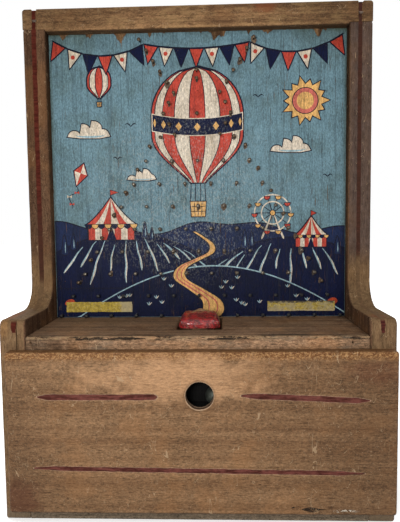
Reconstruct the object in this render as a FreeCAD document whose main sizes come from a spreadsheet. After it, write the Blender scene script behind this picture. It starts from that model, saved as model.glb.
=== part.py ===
"""Upright tabletop bagatelle: a wooden case, a nailed playfield and a sprung flipper key.

Millimetres. X runs to the right, Y to the back and Z up. The origin is on the ground under
the middle of the case.
"""

import FreeCAD, Part
import math
import os
import re
import Sketcher

Vector = FreeCAD.Vector

SIZES = {
    # case
    "outer_width": 336.0,
    "outer_height": 463.5,
    "side_thickness": 22.0,
    "shoulder_rise": 14.2,       # of the side boards' low front part, above the shelf
    "shoulder_corner": 6.5,
    "shoulder_fillet": 25.0,
    "edge_break": 1.2,
    "rail_height": 19.2,
    "rail_lap": 2.0,             # how far the rail drops between the side boards
    "rail_corner": 3.0,
    "groove_width": 4.6,
    "groove_depth": 1.0,
    "groove_inset": 11.5,
    "playfield_recess": 10.0,    # of the playfield, behind the front edge of the tall part
    "playfield_thickness": 10.0,
    "cleat_width": 15.0,
    "cleat_depth": 15.0,
    "back_space": 14.0,          # behind the playfield's cleats
    "shelf_top": 160.8,
    "shelf_thickness": 16.0,
    "slot_side_gap": 1.5,        # between the slot and the key
    "slot_front_gap": 8.0,
    "slot_rear_gap": 5.5,        # between the slot and the cup
    "bottom_thickness": 14.0,
    "back_thickness": 6.0,
    "back_inset": 2.0,
    # front panel with the round mouth of the ball tray
    "panel_margin": 4.0,         # on each side, before the panel is nailed off centre
    "panel_lap": 4.9,            # over the front edge of the shelf
    "panel_thickness": 9.0,
    "panel_lift": 9.7,
    "panel_offset": 3.0,
    "panel_corner": 3.0,
    "mouth_diameter": 23.2,
    "mouth_drop": 32.6,          # centre of the mouth, below the shelf
    # ball tray behind the mouth
    "tray_length": 60.0,
    "tray_play": 1.0,            # between the ball and each long wall
    "tray_wall": 4.0,
    "tray_step": 1.6,            # floor of the tray, below the lower edge of the mouth
    "tray_headroom": 3.0,
    # flipper
    "flipper_offset": 1.7,
    "bearing_gap": 6.0,          # behind the front panel
    "pivot_drop": 5.8,           # centre of the axle, below the shelf
    "axle_diameter": 4.0,
    "axle_clearance": 0.05,
    "axle_chamfer": 0.4,
    "bearing_width": 12.0,
    "bearing_length": 22.0,
    "bearing_below_axle": 12.0,
    "bearing_corner": 5.0,
    "lever_width": 14.0,
    "lever_side_gap": 0.5,
    "stop_gap": 0.3,
    "seat_drop": 0.8,            # seat of the key and top of the cup, below the shelf's top
    "cup_lip": 2.0,              # the cup's bore is this much narrower than the ball
    "cup_wall": 3.5,
    "cup_floor_gap": 0.7,        # under the ball that sits in the cup
    "dowel_diameter": 6.0,
    "dowel_reach": 7.5,          # past each side of the slot
    "dowel_behind_ball": 4.0,
    "key_width": 38.0,
    "key_length": 26.0,
    "key_behind_pivot": 20.0,
    "key_front_height": 7.5,
    "key_rear_height": 11.0,
    "key_front_round": 5.0,
    "key_rear_round": 3.0,
    "key_end_round": 8.0,
    "spring_width": 12.0,
    "spring_thickness": 0.8,
    "spring_corner": 4.0,
    "spring_overlap": 6.0,       # of the leaf spring's tip, in front of the ball's centre
    "spring_block_width": 24.0,
    "spring_block_length": 25.0,
    "spring_block_gap": 1.0,     # in front of the back panel
    # balls
    "ball_diameter": 16.0,
    "ball_gap": 0.3,
    "ball_behind_key": 2.0,
    "ball_pin_gap": 2.3,         # between the ball in the cup and the heads of the pins
    "tray_ball_across": 12.3,    # beside the centre of the mouth
    # pins of the playfield
    "pin_diameter": 1.8,
    "pin_head_diameter": 3.8,
    "pin_head_thickness": 0.9,
    "pin_stand": 8.7,
    "pin_bite": 7.0,
    "field_margin": 6.3,         # between the outermost pins and the side boards
    "field_drop": 125.3,         # top row of the field, below the rail
    "pocket_height": 22.7,       # pins over the pockets, above the shelf
    "pocket_row_lift": 2.6,      # lowest row of pins, above the shelf
    "funnel_top_across": 55.4,
    "funnel_top_drop": 8.8,      # this drop and those below it are measured from the rail
    "funnel_foot_across": 22.5,
    "funnel_foot_drop": 59.8,
    "throat_top_drop": 69.3,
    "throat_step": 10.2,
    "throat_waist_across": 32.8,
    "throat_taper": 5.3,
    "bumper_upper_drop": 38.1,
    "bumper_lower_drop": 79.8,
    "bumper_step": 8.3,
    "fence_inset": 3.8,          # of the fence's top pin, from the outer pin of its row
    "fence_lean": 0.35,          # that each further pin leans in
    "fence_rise": 14.5,          # of the fence's top pin, above its row
    "fence_settle": 0.1,         # that each further pin sits lower over its row
    "gate_inset": 10.9,          # of the pin at the gate, from the fence's top pin
    "gate_rise": 8.5,
    # paper labels on the playfield
    "label_width": 68.0,
    "label_height": 10.4,
    "label_thickness": 0.3,
    "label_inset": 9.8,
    "label_lift": 5.5,
    # nails, brads and screws
    "nail_diameter": 2.4,
    "nail_head_diameter": 5.0,
    "nail_length": 38.0,
    "nail_proud": 0.1,
    "nail_margin": 18.0,
    "toe_tilt": 40.0,            # degrees between the rail's toe nails and the level
    "brad_diameter": 1.6,
    "brad_head_diameter": 2.6,
    "brad_length": 24.0,
    "brad_sink": 0.6,
    "brad_inset": 9.0,
    "screw_diameter": 2.8,
    "screw_head_diameter": 5.6,
    "screw_head_thickness": 1.4,
    "screw_length": 24.0,
    "key_screw_bite": 4.1,       # of the key screws into the key
    "head_thickness": 1.2,
}

FIELD_TOP_COUNT = 5
FIELD_ROWS = 6
FUNNEL_COUNT = 6
THROAT_COUNT = 4
FENCE_COUNT = 7
SHANK_FACETS = 6
HEAD_FACETS = 8
BALL_MERIDIANS = 16
BALL_BANDS = 12

doc = FreeCAD.newDocument("Bagatelle")
sheet = doc.addObject("Spreadsheet::Sheet", "Sizes")
for line, (alias, size) in enumerate(SIZES.items(), start=1):
    sheet.set(f"A{line}", alias)
    sheet.set(f"B{line}", str(size))
    sheet.setAlias(f"B{line}", alias)
doc.recompute()

subparts = []


# ---------------------------------------------------------------- helpers

def bound(expression):
    """The expression with the sheet named in front of each of its aliases."""
    def full_name(word):
        return f"Sizes.{word[0]}" if word[0] in SIZES else word[0]
    return re.sub(r"[a-z]\w+", full_name, expression)


def amount(expression):
    """The value that the expression has now."""
    return float(sheet.evalExpression(bound(expression)))


def tie(thing, target, expression):
    """Bind one property or constraint to the sheet."""
    thing.setExpression(target, bound(expression))


def put(thing, across="0", back="0", up="0"):
    """Place a sub-part's own origin; back is counted from the front face of the case."""
    tie(thing, ".Placement.Base.x", across)
    tie(thing, ".Placement.Base.y", f"{back} - {OUTER_DEPTH} / 2")
    tie(thing, ".Placement.Base.z", up)


def keep(thing, label):
    """Name a finished sub-part and list it for export."""
    thing.Label = label
    subparts.append(thing)
    return thing


def new_body(label):
    return keep(doc.addObject("PartDesign::Body", label), label)


def new_sketch(body, plane, offset="0"):
    """A sketch on one of the body's own origin planes."""
    sketch = body.newObject("Sketcher::SketchObject", f"{body.Name}_sketch")
    origin = [feature for feature in body.Origin.OriginFeatures if feature.Role == plane]
    sketch.AttachmentSupport = [(origin[0], "")]
    sketch.MapMode = "FlatFace"
    tie(sketch, ".AttachmentOffset.Base.z", offset)
    return sketch


def constrain(sketch, expression, *constraint):
    """Add a dimension whose value follows the sheet."""
    number = sketch.addConstraint(Sketcher.Constraint(*constraint, amount(expression)))
    tie(sketch, f"Constraints[{number}]", expression)


def pin_point(sketch, geometry, end, across, up):
    constrain(sketch, across, "DistanceX", geometry, end)
    constrain(sketch, up, "DistanceY", geometry, end)


def draw_outline(sketch, corners):
    """Closed outline through corners (across, up) or (across, up, radius)."""
    count = len(corners)
    spots = [Vector(amount(corner[0]), amount(corner[1]), 0) for corner in corners]
    arrive = []
    leave = []
    for here, corner in enumerate(corners):
        back = (spots[here - 1] - spots[here]).normalize()
        ahead = (spots[(here + 1) % count] - spots[here]).normalize()
        reach = 0.0
        if len(corner) == 3:
            reach = amount(corner[2]) / math.tan(back.getAngle(ahead) / 2)
        arrive.append(spots[here] + back * reach)
        leave.append(spots[here] + ahead * reach)
    lines = []
    for here in range(count):
        edge = Part.LineSegment(leave[here], arrive[(here + 1) % count])
        lines.append(sketch.addGeometry(edge, False))
    for here, corner in enumerate(corners):
        if len(corner) == 2:
            sketch.addConstraint(Sketcher.Constraint("Coincident", lines[here - 1], 2, lines[here], 1))
            pin_point(sketch, lines[here], 1, corner[0], corner[1])
        else:
            round_corner(sketch, corner, spots[here], arrive[here], leave[here], lines[here - 1], lines[here])


def round_corner(sketch, corner, spot, start, stop, line_in, line_out):
    """Arc between two lines of an outline, tangent to both, about a corner that is only construction."""
    back = (start - spot).normalize()
    ahead = (stop - spot).normalize()
    radius = amount(corner[2])
    centre = spot + (back + ahead).normalize() * (radius / math.sin(back.getAngle(ahead) / 2))
    left_turn = ahead.cross(back).z > 0
    first, last = (start, stop) if left_turn else (stop, start)
    angles = [math.atan2(point.y - centre.y, point.x - centre.x) for point in (first, last)]
    circle = Part.Circle(centre, Vector(0, 0, 1), radius)
    arc = sketch.addGeometry(Part.ArcOfCircle(circle, angles[0], angles[1]), False)
    mark = sketch.addGeometry(Part.Point(spot), True)
    pin_point(sketch, mark, 1, corner[0], corner[1])
    sketch.addConstraint(Sketcher.Constraint("PointOnObject", mark, 1, line_in))
    sketch.addConstraint(Sketcher.Constraint("PointOnObject", mark, 1, line_out))
    near, far = (1, 2) if left_turn else (2, 1)
    sketch.addConstraint(Sketcher.Constraint("Tangent", line_in, 2, arc, near))
    sketch.addConstraint(Sketcher.Constraint("Tangent", line_out, 1, arc, far))
    constrain(sketch, corner[2], "Radius", arc)


def draw_circle(sketch, diameter, across="0", up="0"):
    centre = Vector(amount(across), amount(up), 0)
    circle = sketch.addGeometry(Part.Circle(centre, Vector(0, 0, 1), amount(diameter) / 2), False)
    pin_point(sketch, circle, 3, across, up)
    constrain(sketch, diameter, "Diameter", circle)


def rectangle(left, right, low, high):
    return [(left, low), (right, low), (right, high), (left, high)]


def pad(body, sketch, length, side="One side", reverse=False):
    feature = body.newObject("PartDesign::Pad", f"{body.Name}_pad")
    feature.Profile = sketch
    feature.SideType = side
    feature.Reversed = reverse
    tie(feature, "Length", length)
    doc.recompute()
    return feature


def cut(body, sketch, length="", side="One side", reverse=False):
    """Pocket that goes right through unless it has a length, checked to take material away."""
    whole = body.Shape.Volume
    feature = body.newObject("PartDesign::Pocket", f"{body.Name}_pocket")
    feature.Profile = sketch
    feature.SideType = side
    feature.Reversed = reverse
    if length:
        tie(feature, "Length", length)
    else:
        feature.Type = "ThroughAll"
    doc.recompute()
    if body.Shape.Volume > whole - 0.01:
        raise RuntimeError(f"a pocket of {body.Label} removes nothing")
    return feature


def break_edges(body, wanted, size, kind="Chamfer"):
    """Chamfer or fillet the edges of the body that the test picks."""
    base = body.Tip
    names = [f"Edge{number}" for number, edge in enumerate(base.Shape.Edges, start=1) if wanted(edge)]
    feature = body.newObject(f"PartDesign::{kind}", f"{body.Name}_{kind}")
    feature.Base = (base, names)
    tie(feature, "Size" if kind == "Chamfer" else "Radius", size)
    doc.recompute()
    return feature


def edge_lies_at(axis, place):
    """Test for edges that lie wholly in the plane where one coordinate has the given value."""
    def test(edge):
        box = edge.BoundBox
        low = getattr(box, f"{axis}Min")
        high = getattr(box, f"{axis}Max")
        return abs(low - place) < 0.01 and abs(high - place) < 0.01
    return test


def plain_board(label, length, width, height, across, back, up):
    """Sawn rectangular piece, placed by its left, front and lower corner."""
    box = keep(doc.addObject("Part::Box", label), label)
    tie(box, "Length", length)
    tie(box, "Width", width)
    tie(box, "Height", height)
    put(box, across, back, up)
    return box


def cross_rod(label, diameter, length, back, up):
    """Round rod across the flipper, centred on it."""
    body = new_body(label)
    sketch = new_sketch(body, "YZ_Plane")
    draw_circle(sketch, diameter)
    pad(body, sketch, length, side="Symmetric")
    put(body, "flipper_offset", back, up)
    return body


def prism(diameter, length, facets):
    """Upright many-sided bar on z = 0, as wide as the round one that it stands for."""
    corners = []
    for number in range(facets + 1):
        turn = 2 * math.pi * number / facets
        corners.append(Vector(math.cos(turn), math.sin(turn), 0) * (diameter / 2))
    return Part.Face(Part.makePolygon(corners)).extrude(Vector(0, 0, length))


def fastener(diameter, length, head_diameter, head_thickness):
    """Nail or screw with its head's top at the origin, driven along -Z."""
    shank = prism(diameter, length - head_thickness, SHANK_FACETS)
    shank.translate(Vector(0, 0, -length))
    head = prism(head_diameter, head_thickness, HEAD_FACETS)
    head.translate(Vector(0, 0, -head_thickness))
    return shank.fuse(head)


def drive(shape, heads, out):
    """Copies of a fastener with their heads at the given points, facing out."""
    turn = FreeCAD.Rotation(Vector(0, 0, 1), out)
    copies = []
    for head in heads:
        copy = shape.copy()
        copy.Placement = FreeCAD.Placement(head, turn)
        copies.append(copy)
    return copies


def keep_group(label, solids):
    """One node of identical pieces, each a solid of its own."""
    group = doc.addObject("Part::Feature", label)
    group.Shape = Part.makeCompound(solids)
    return keep(group, label)


def spread(first, last, count):
    return [first + (last - first) * number / (count - 1) for number in range(count)]


def mirrored(points):
    """The points and their mirror images across the middle of the case."""
    return points + [Vector(-point.x, point.y, point.z) for point in points]


# ---------------------------------------------------------------- places used by several pieces

INNER_WIDTH = "(outer_width - 2 * side_thickness)"
INNER_LEFT = f"(-{INNER_WIDTH} / 2)"
SIDE_HEIGHT = "(outer_height - rail_height)"
RAIL_UNDER = f"({SIDE_HEIGHT} - rail_lap)"
FIELD_PITCH = f"(({INNER_WIDTH} - 2 * field_margin) / {FIELD_TOP_COUNT + FIELD_ROWS})"
SHELF_UNDER = "(shelf_top - shelf_thickness)"
SHOULDER_HEIGHT = "(shelf_top + shoulder_rise)"
PANEL_WIDTH = "(outer_width - 2 * panel_margin)"
PANEL_TOP = f"({SHELF_UNDER} + panel_lap)"
MOUTH_HEIGHT = f"({SHELF_UNDER} - mouth_drop)"
TRAY_FLOOR = f"({MOUTH_HEIGHT} - mouth_diameter / 2 - tray_step)"
TRAY_WIDTH = "(ball_diameter + 2 * tray_play)"
TRAY_HEIGHT = "(ball_diameter + tray_headroom)"

# Setbacks run from the case's front to its back, and each is built on the one before it.
PIVOT_SETBACK = "(panel_thickness + bearing_gap + bearing_length / 2)"
KEY_SETBACK = f"({PIVOT_SETBACK} + key_behind_pivot)"
BALL_SETBACK = f"({KEY_SETBACK} + key_length + ball_behind_key + ball_diameter / 2)"
PLAYFIELD_SETBACK = f"({BALL_SETBACK} + ball_diameter / 2 + ball_pin_gap + pin_stand)"
UPPER_SETBACK = f"({PLAYFIELD_SETBACK} - playfield_recess)"
OUTER_DEPTH = f"({PLAYFIELD_SETBACK} + playfield_thickness + cleat_depth + back_space)"
BACK_SETBACK = f"({OUTER_DEPTH} - back_inset - back_thickness)"
SPRING_TIP_SETBACK = f"({BALL_SETBACK} - spring_overlap)"
SPRING_BLOCK_SETBACK = f"({BACK_SETBACK} - spring_block_gap - spring_block_length)"

CUP_BORE = "(ball_diameter - cup_lip)"
CUP_DIAMETER = f"({CUP_BORE} + 2 * cup_wall)"
SLOT_WIDTH = "(key_width + 2 * slot_side_gap)"
SLOT_FRONT = f"({KEY_SETBACK} - slot_front_gap)"
SLOT_REAR = f"({BALL_SETBACK} + {CUP_DIAMETER} / 2 + slot_rear_gap)"
DOWEL_LENGTH = f"({SLOT_WIDTH} + 2 * dowel_reach)"
PIVOT_HEIGHT = f"({SHELF_UNDER} - pivot_drop)"
HUB_RADIUS = "(pivot_drop - stop_gap)"
LEVER_UNDER = f"({PIVOT_HEIGHT} - {HUB_RADIUS})"
SEAT_HEIGHT = "(shelf_top - seat_drop)"
SEAT_RISE = f"({SEAT_HEIGHT} - {PIVOT_HEIGHT})"
BALL_ARM = f"({BALL_SETBACK} - {PIVOT_SETBACK})"
SPRING_TOP = f"({LEVER_UNDER} - stop_gap)"
BALL_ABOVE_SEAT = f"sqrt((ball_diameter / 2 + ball_gap)^2 - ({CUP_BORE} / 2)^2)"


# ---------------------------------------------------------------- case

def side_panel(label, across):
    """Side board with a low shoulder in front of its tall part."""
    body = new_body(label)
    sketch = new_sketch(body, "YZ_Plane")
    draw_outline(sketch, [
        ("panel_thickness", "0"),
        (OUTER_DEPTH, "0"),
        (OUTER_DEPTH, SIDE_HEIGHT),
        (UPPER_SETBACK, SIDE_HEIGHT),
        (UPPER_SETBACK, SHOULDER_HEIGHT, "shoulder_fillet"),
        ("panel_thickness", SHOULDER_HEIGHT, "shoulder_corner"),
    ])
    pad(body, sketch, "side_thickness")
    put(body, across)
    return body


def break_side_edges():
    """Sanded outer edges, on the face of each side board that is turned outwards."""
    left, right = (doc.getObject(name) for name in ("side_panel_left", "side_panel_right"))
    break_edges(left, edge_lies_at("X", 0), "edge_break")
    break_edges(right, edge_lies_at("X", amount("side_thickness")), "edge_break")


def top_rail():
    """Rail over both side boards, notched under its ends and grooved for the painted stripes."""
    body = new_body("top_rail")
    sketch = new_sketch(body, "XZ_Plane")
    half = "outer_width / 2"
    groove_out = f"({half} - groove_inset + groove_width / 2)"
    groove_in = f"({half} - groove_inset - groove_width / 2)"
    groove_floor = "rail_height - groove_depth"
    shoulder = f"({half} - side_thickness)"
    right = [
        (shoulder, "-rail_lap"),
        (shoulder, "0"),
        (half, "0"),
        (half, "rail_height", "rail_corner"),
        (groove_out, "rail_height"),
        (groove_out, groove_floor),
        (groove_in, groove_floor),
        (groove_in, "rail_height"),
    ]
    left = [(f"-({corner[0]})",) + corner[1:] for corner in reversed(right)]
    draw_outline(sketch, right + left)
    pad(body, sketch, f"{OUTER_DEPTH} - {UPPER_SETBACK}", reverse=True)
    for side in ("", "-"):
        front_groove = new_sketch(body, "XZ_Plane")
        low, high = sorted((f"{side}{groove_in}", f"{side}{groove_out}"), key=amount)
        draw_outline(front_groove, rectangle(low, high, "-rail_lap", "rail_height"))
        cut(body, front_groove, "groove_depth")
    put(body, back=UPPER_SETBACK, up=SIDE_HEIGHT)
    return body


def playfield_board():
    body = new_body("playfield_board")
    sketch = new_sketch(body, "XZ_Plane")
    draw_outline(sketch, rectangle(INNER_LEFT, f"{INNER_WIDTH} / 2", "shelf_top", RAIL_UNDER))
    pad(body, sketch, "playfield_thickness", reverse=True)
    put(body, back=PLAYFIELD_SETBACK)
    return body


def shelf_board():
    """Shelf in front of the playfield, slotted for the flipper."""
    body = new_body("shelf_board")
    sketch = new_sketch(body, "XY_Plane")
    draw_outline(sketch, rectangle(INNER_LEFT, f"{INNER_WIDTH} / 2", "panel_thickness", BACK_SETBACK))
    pad(body, sketch, "shelf_thickness")
    slot = new_sketch(body, "XY_Plane")
    slot_left = f"flipper_offset - {SLOT_WIDTH} / 2"
    slot_right = f"flipper_offset + {SLOT_WIDTH} / 2"
    draw_outline(slot, rectangle(slot_left, slot_right, SLOT_FRONT, SLOT_REAR))
    cut(body, slot, reverse=True)
    put(body, up=SHELF_UNDER)
    return body


def front_panel():
    """Panel nailed over the case's front, with a round mouth on its middle line."""
    body = new_body("front_panel")
    sketch = new_sketch(body, "XZ_Plane")
    half = f"{PANEL_WIDTH} / 2"
    height = f"{PANEL_TOP} - panel_lift"
    draw_outline(sketch, [
        (f"-{half}", "0", "panel_corner"),
        (half, "0", "panel_corner"),
        (half, height, "panel_corner"),
        (f"-{half}", height, "panel_corner"),
    ])
    pad(body, sketch, "panel_thickness", reverse=True)
    mouth = new_sketch(body, "XZ_Plane")
    draw_circle(mouth, "mouth_diameter", up=f"{MOUTH_HEIGHT} - panel_lift")
    cut(body, mouth)
    break_edges(body, edge_lies_at("Y", 0), "edge_break")
    put(body, "panel_offset", up="panel_lift")
    return body


def case_boards():
    side_panel("side_panel_left", "-outer_width / 2")
    side_panel("side_panel_right", "outer_width / 2 - side_thickness")
    break_side_edges()
    top_rail()
    playfield_board()
    shelf_board()
    front_panel()
    plain_board("bottom_board", INNER_WIDTH, f"{BACK_SETBACK} - panel_thickness", "bottom_thickness",
                INNER_LEFT, "panel_thickness", "0")
    plain_board("base_back_panel", INNER_WIDTH, "back_thickness", "shelf_top",
                INNER_LEFT, BACK_SETBACK, "0")
    for side, across in (("left", INNER_LEFT), ("right", f"{INNER_WIDTH} / 2 - cleat_width")):
        plain_board(f"playfield_cleat_{side}", "cleat_width", "cleat_depth", f"{RAIL_UNDER} - shelf_top",
                    across, f"{PLAYFIELD_SETBACK} + playfield_thickness", "shelf_top")
    for side, across in (("left", f"{INNER_LEFT} + label_inset"),
                         ("right", f"{INNER_WIDTH} / 2 - label_inset - label_width")):
        plain_board(f"paper_label_{side}", "label_width", "label_thickness", "label_height",
                    across, f"{PLAYFIELD_SETBACK} - label_thickness", "shelf_top + label_lift")


# ---------------------------------------------------------------- ball tray

def ball_tray():
    left = "panel_offset - tray_length / 2"
    outer_left = f"{left} - tray_wall"
    outer_length = "tray_length + 2 * tray_wall"
    plain_board("tray_floor", outer_length, TRAY_WIDTH, "tray_wall",
                outer_left, "panel_thickness", f"{TRAY_FLOOR} - tray_wall")
    plain_board("tray_back", outer_length, "tray_wall", f"{TRAY_HEIGHT} + tray_wall",
                outer_left, f"panel_thickness + {TRAY_WIDTH}", f"{TRAY_FLOOR} - tray_wall")
    for side, across in (("left", outer_left), ("right", f"{left} + tray_length")):
        plain_board(f"tray_end_{side}", "tray_wall", TRAY_WIDTH, TRAY_HEIGHT,
                    across, "panel_thickness", TRAY_FLOOR)


# ---------------------------------------------------------------- flipper

def bearing_block(label, across):
    """Block under the shelf that holds one end of the axle."""
    body = new_body(label)
    sketch = new_sketch(body, "YZ_Plane")
    half = "bearing_length / 2"
    draw_outline(sketch, [
        (f"-{half}", "-bearing_below_axle", "bearing_corner"),
        (half, "-bearing_below_axle", "bearing_corner"),
        (half, "pivot_drop"),
        (f"-{half}", "pivot_drop"),
    ])
    pad(body, sketch, "bearing_width")
    bore = new_sketch(body, "YZ_Plane")
    draw_circle(bore, "axle_diameter + 2 * axle_clearance")
    cut(body, bore, reverse=True)
    put(body, across, PIVOT_SETBACK, PIVOT_HEIGHT)
    return body


def flipper_lever():
    """Wooden lever: a hub on the axle, a riser under the key and a bored cup for the ball."""
    body = new_body("flipper_lever")
    hub = new_sketch(body, "YZ_Plane")
    draw_circle(hub, f"2 * {HUB_RADIUS}")
    pad(body, hub, "lever_width", side="Symmetric")
    arm = new_sketch(body, "YZ_Plane")
    draw_outline(arm, [
        ("0", f"-{HUB_RADIUS}"),
        (BALL_ARM, f"-{HUB_RADIUS}"),
        (BALL_ARM, SEAT_RISE),
        ("key_behind_pivot", SEAT_RISE),
        ("key_behind_pivot", HUB_RADIUS),
        ("0", HUB_RADIUS),
    ])
    pad(body, arm, "lever_width", side="Symmetric")
    cup = new_sketch(body, "XY_Plane", f"-{HUB_RADIUS}")
    draw_circle(cup, CUP_DIAMETER, up=BALL_ARM)
    pad(body, cup, f"{SEAT_RISE} + {HUB_RADIUS}")
    seat = new_sketch(body, "XY_Plane", SEAT_RISE)
    draw_circle(seat, CUP_BORE, up=BALL_ARM)
    cut(body, seat, f"ball_diameter / 2 - {BALL_ABOVE_SEAT} + cup_floor_gap")
    bores = new_sketch(body, "YZ_Plane")
    draw_circle(bores, "axle_diameter + 2 * axle_clearance")
    draw_circle(bores, "dowel_diameter", f"{BALL_ARM} + dowel_behind_ball",
                f"{HUB_RADIUS} - dowel_diameter / 2")
    cut(body, bores, f"2 * {CUP_DIAMETER}", side="Symmetric")
    put(body, "flipper_offset", PIVOT_SETBACK, PIVOT_HEIGHT)
    return body


def flipper_key():
    """Finger key on the riser, low in front and rounded off at its ends."""
    body = new_body("flipper_key")
    profile = new_sketch(body, "YZ_Plane")
    draw_outline(profile, [
        ("0", "0"),
        ("key_length", "0"),
        ("key_length", "key_rear_height", "key_rear_round"),
        ("0", "key_front_height", "key_front_round"),
    ])
    pad(body, profile, "key_width", side="Symmetric")
    ends = new_sketch(body, "XZ_Plane")
    half = "key_width / 2"
    draw_outline(ends, rectangle("-key_width", "key_width", "-key_rear_height", "2 * key_rear_height"))
    draw_outline(ends, [
        (f"-{half}", "-key_rear_height / 2"),
        (half, "-key_rear_height / 2"),
        (half, "key_rear_height", "key_end_round"),
        (f"-{half}", "key_rear_height", "key_end_round"),
    ])
    cut(body, ends, "4 * key_length", side="Symmetric")
    put(body, "flipper_offset", KEY_SETBACK, SEAT_HEIGHT)
    return body


def leaf_spring():
    """Flat steel strip under the lever, round at its free end."""
    body = new_body("leaf_spring")
    sketch = new_sketch(body, "XY_Plane")
    half = "spring_width / 2"
    end = f"({SPRING_BLOCK_SETBACK} + spring_block_length - {SPRING_TIP_SETBACK})"
    draw_outline(sketch, [
        (f"-{half}", "0", "spring_corner"),
        (half, "0", "spring_corner"),
        (half, end),
        (f"-{half}", end),
    ])
    pad(body, sketch, "spring_thickness")
    put(body, "flipper_offset", SPRING_TIP_SETBACK, f"{SPRING_TOP} - spring_thickness")
    return body


def flipper_action():
    bearing_reach = "(lever_width / 2 + lever_side_gap)"
    bearing_block("bearing_block_left", f"flipper_offset - {bearing_reach} - bearing_width")
    bearing_block("bearing_block_right", f"flipper_offset + {bearing_reach}")
    axle_length = f"2 * ({bearing_reach} + bearing_width)"
    axle = cross_rod("pivot_axle", "axle_diameter", axle_length, PIVOT_SETBACK, PIVOT_HEIGHT)
    half_axle = amount(axle_length) / 2
    break_edges(axle, lambda edge: abs(abs(edge.CenterOfMass.x) - half_axle) < 0.01, "axle_chamfer")
    flipper_lever()
    flipper_key()
    cross_rod("stop_dowel", "dowel_diameter", DOWEL_LENGTH, f"{BALL_SETBACK} + dowel_behind_ball",
              f"{SHELF_UNDER} - stop_gap - dowel_diameter / 2")
    plain_board("spring_block", "spring_block_width", "spring_block_length", f"{SHELF_UNDER} - {SPRING_TOP}",
                "flipper_offset - spring_block_width / 2", SPRING_BLOCK_SETBACK, SPRING_TOP)
    leaf_spring()


# ---------------------------------------------------------------- balls

def ball_point(band, meridian):
    latitude = math.pi * (band / BALL_BANDS - 0.5)
    turn = 2 * math.pi * meridian / BALL_MERIDIANS
    level = Vector(math.cos(turn), math.sin(turn), 0) * math.cos(latitude)
    return (level + Vector(0, 0, math.sin(latitude))) * (amount("ball_diameter") / 2)


def ball(label, across, back, up):
    """Steel ball, closed by flat faces between its parallels and meridians."""
    faces = []
    for band in range(BALL_BANDS):
        for meridian in range(BALL_MERIDIANS):
            corners = [ball_point(band, meridian), ball_point(band, meridian + 1)]
            corners += [ball_point(band + 1, meridian + 1), ball_point(band + 1, meridian)]
            if band == 0:
                corners = corners[1:]
            if band == BALL_BANDS - 1:
                corners = corners[:3]
            faces.append(Part.Face(Part.makePolygon(corners + corners[:1])))
    shell = Part.makeShell(faces)
    shell.sewShape()
    thing = doc.addObject("Part::Feature", label)
    thing.Shape = Part.makeSolid(shell)
    put(keep(thing, label), across, back, up)
    return thing


def balls():
    ball("ball_in_play", "flipper_offset", BALL_SETBACK, f"{SEAT_HEIGHT} + {BALL_ABOVE_SEAT}")
    ball("ball_in_tray", "panel_offset + tray_ball_across", f"panel_thickness + {TRAY_WIDTH} / 2",
         f"{TRAY_FLOOR} + ball_gap + ball_diameter / 2")


# ---------------------------------------------------------------- pins of the playfield

def below_rail(drop):
    return amount(f"{RAIL_UNDER} - {drop}")


def pin_rows():
    """Heads of the pins, as (across, up), for each group of them."""
    funnel_across = spread(amount("funnel_top_across"), amount("funnel_foot_across"), FUNNEL_COUNT)
    funnel_up = spread(below_rail("funnel_top_drop"), below_rail("funnel_foot_drop"), FUNNEL_COUNT)
    throat = []
    for number in range(THROAT_COUNT):
        across = amount("throat_waist_across") - amount("throat_taper") * abs(number - 1)
        throat.append((across, below_rail("throat_top_drop") - amount("throat_step") * number))
    bumpers = [(0.0, below_rail("bumper_lower_drop")), (0.0, below_rail("bumper_upper_drop"))]
    bumpers.append((0.0, below_rail("bumper_upper_drop") - amount("bumper_step")))

    pitch = amount(FIELD_PITCH)
    reaches = [pitch * (FIELD_TOP_COUNT - 1 + number) / 2 for number in range(FIELD_ROWS + 2)]
    heights = spread(below_rail("field_drop"), amount("shelf_top + pocket_height"), FIELD_ROWS + 1)
    heights.append(amount("shelf_top + pocket_row_lift"))
    rows = []
    for number, (reach, up) in enumerate(zip(reaches, heights)):
        rows.append([(across, up) for across in spread(-reach, reach, FIELD_TOP_COUNT + number)])

    gate_across = reaches[0] - amount("fence_inset + gate_inset")
    fence = [(gate_across, heights[0] + amount("fence_rise + gate_rise"))]
    for number in range(FENCE_COUNT):
        across = reaches[number] - amount(f"fence_inset + fence_lean * {number}")
        fence.append((across, heights[number] + amount(f"fence_rise - fence_settle * {number}")))
    return {
        "funnel_pins": both_sides(list(zip(funnel_across, funnel_up))),
        "throat_pins": both_sides(throat) + bumpers,
        "fence_pins": both_sides(fence),
        "field_pins": [spot for row in rows[:FIELD_ROWS] for spot in row],
        "pocket_pins": [spot for row in rows[FIELD_ROWS:] for spot in row],
    }


def both_sides(spots):
    return spots + [(-across, up) for across, up in spots]


def playfield_pins():
    face = amount(f"{PLAYFIELD_SETBACK} - pin_stand - {OUTER_DEPTH} / 2")
    length = amount("pin_stand + pin_bite")
    pin = fastener(amount("pin_diameter"), length, amount("pin_head_diameter"), amount("pin_head_thickness"))
    for label, spots in pin_rows().items():
        heads = [Vector(across, face, up) for across, up in spots]
        keep_group(label, drive(pin, heads, Vector(0, -1, 0)))


# ---------------------------------------------------------------- nails, brads and screws

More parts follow.
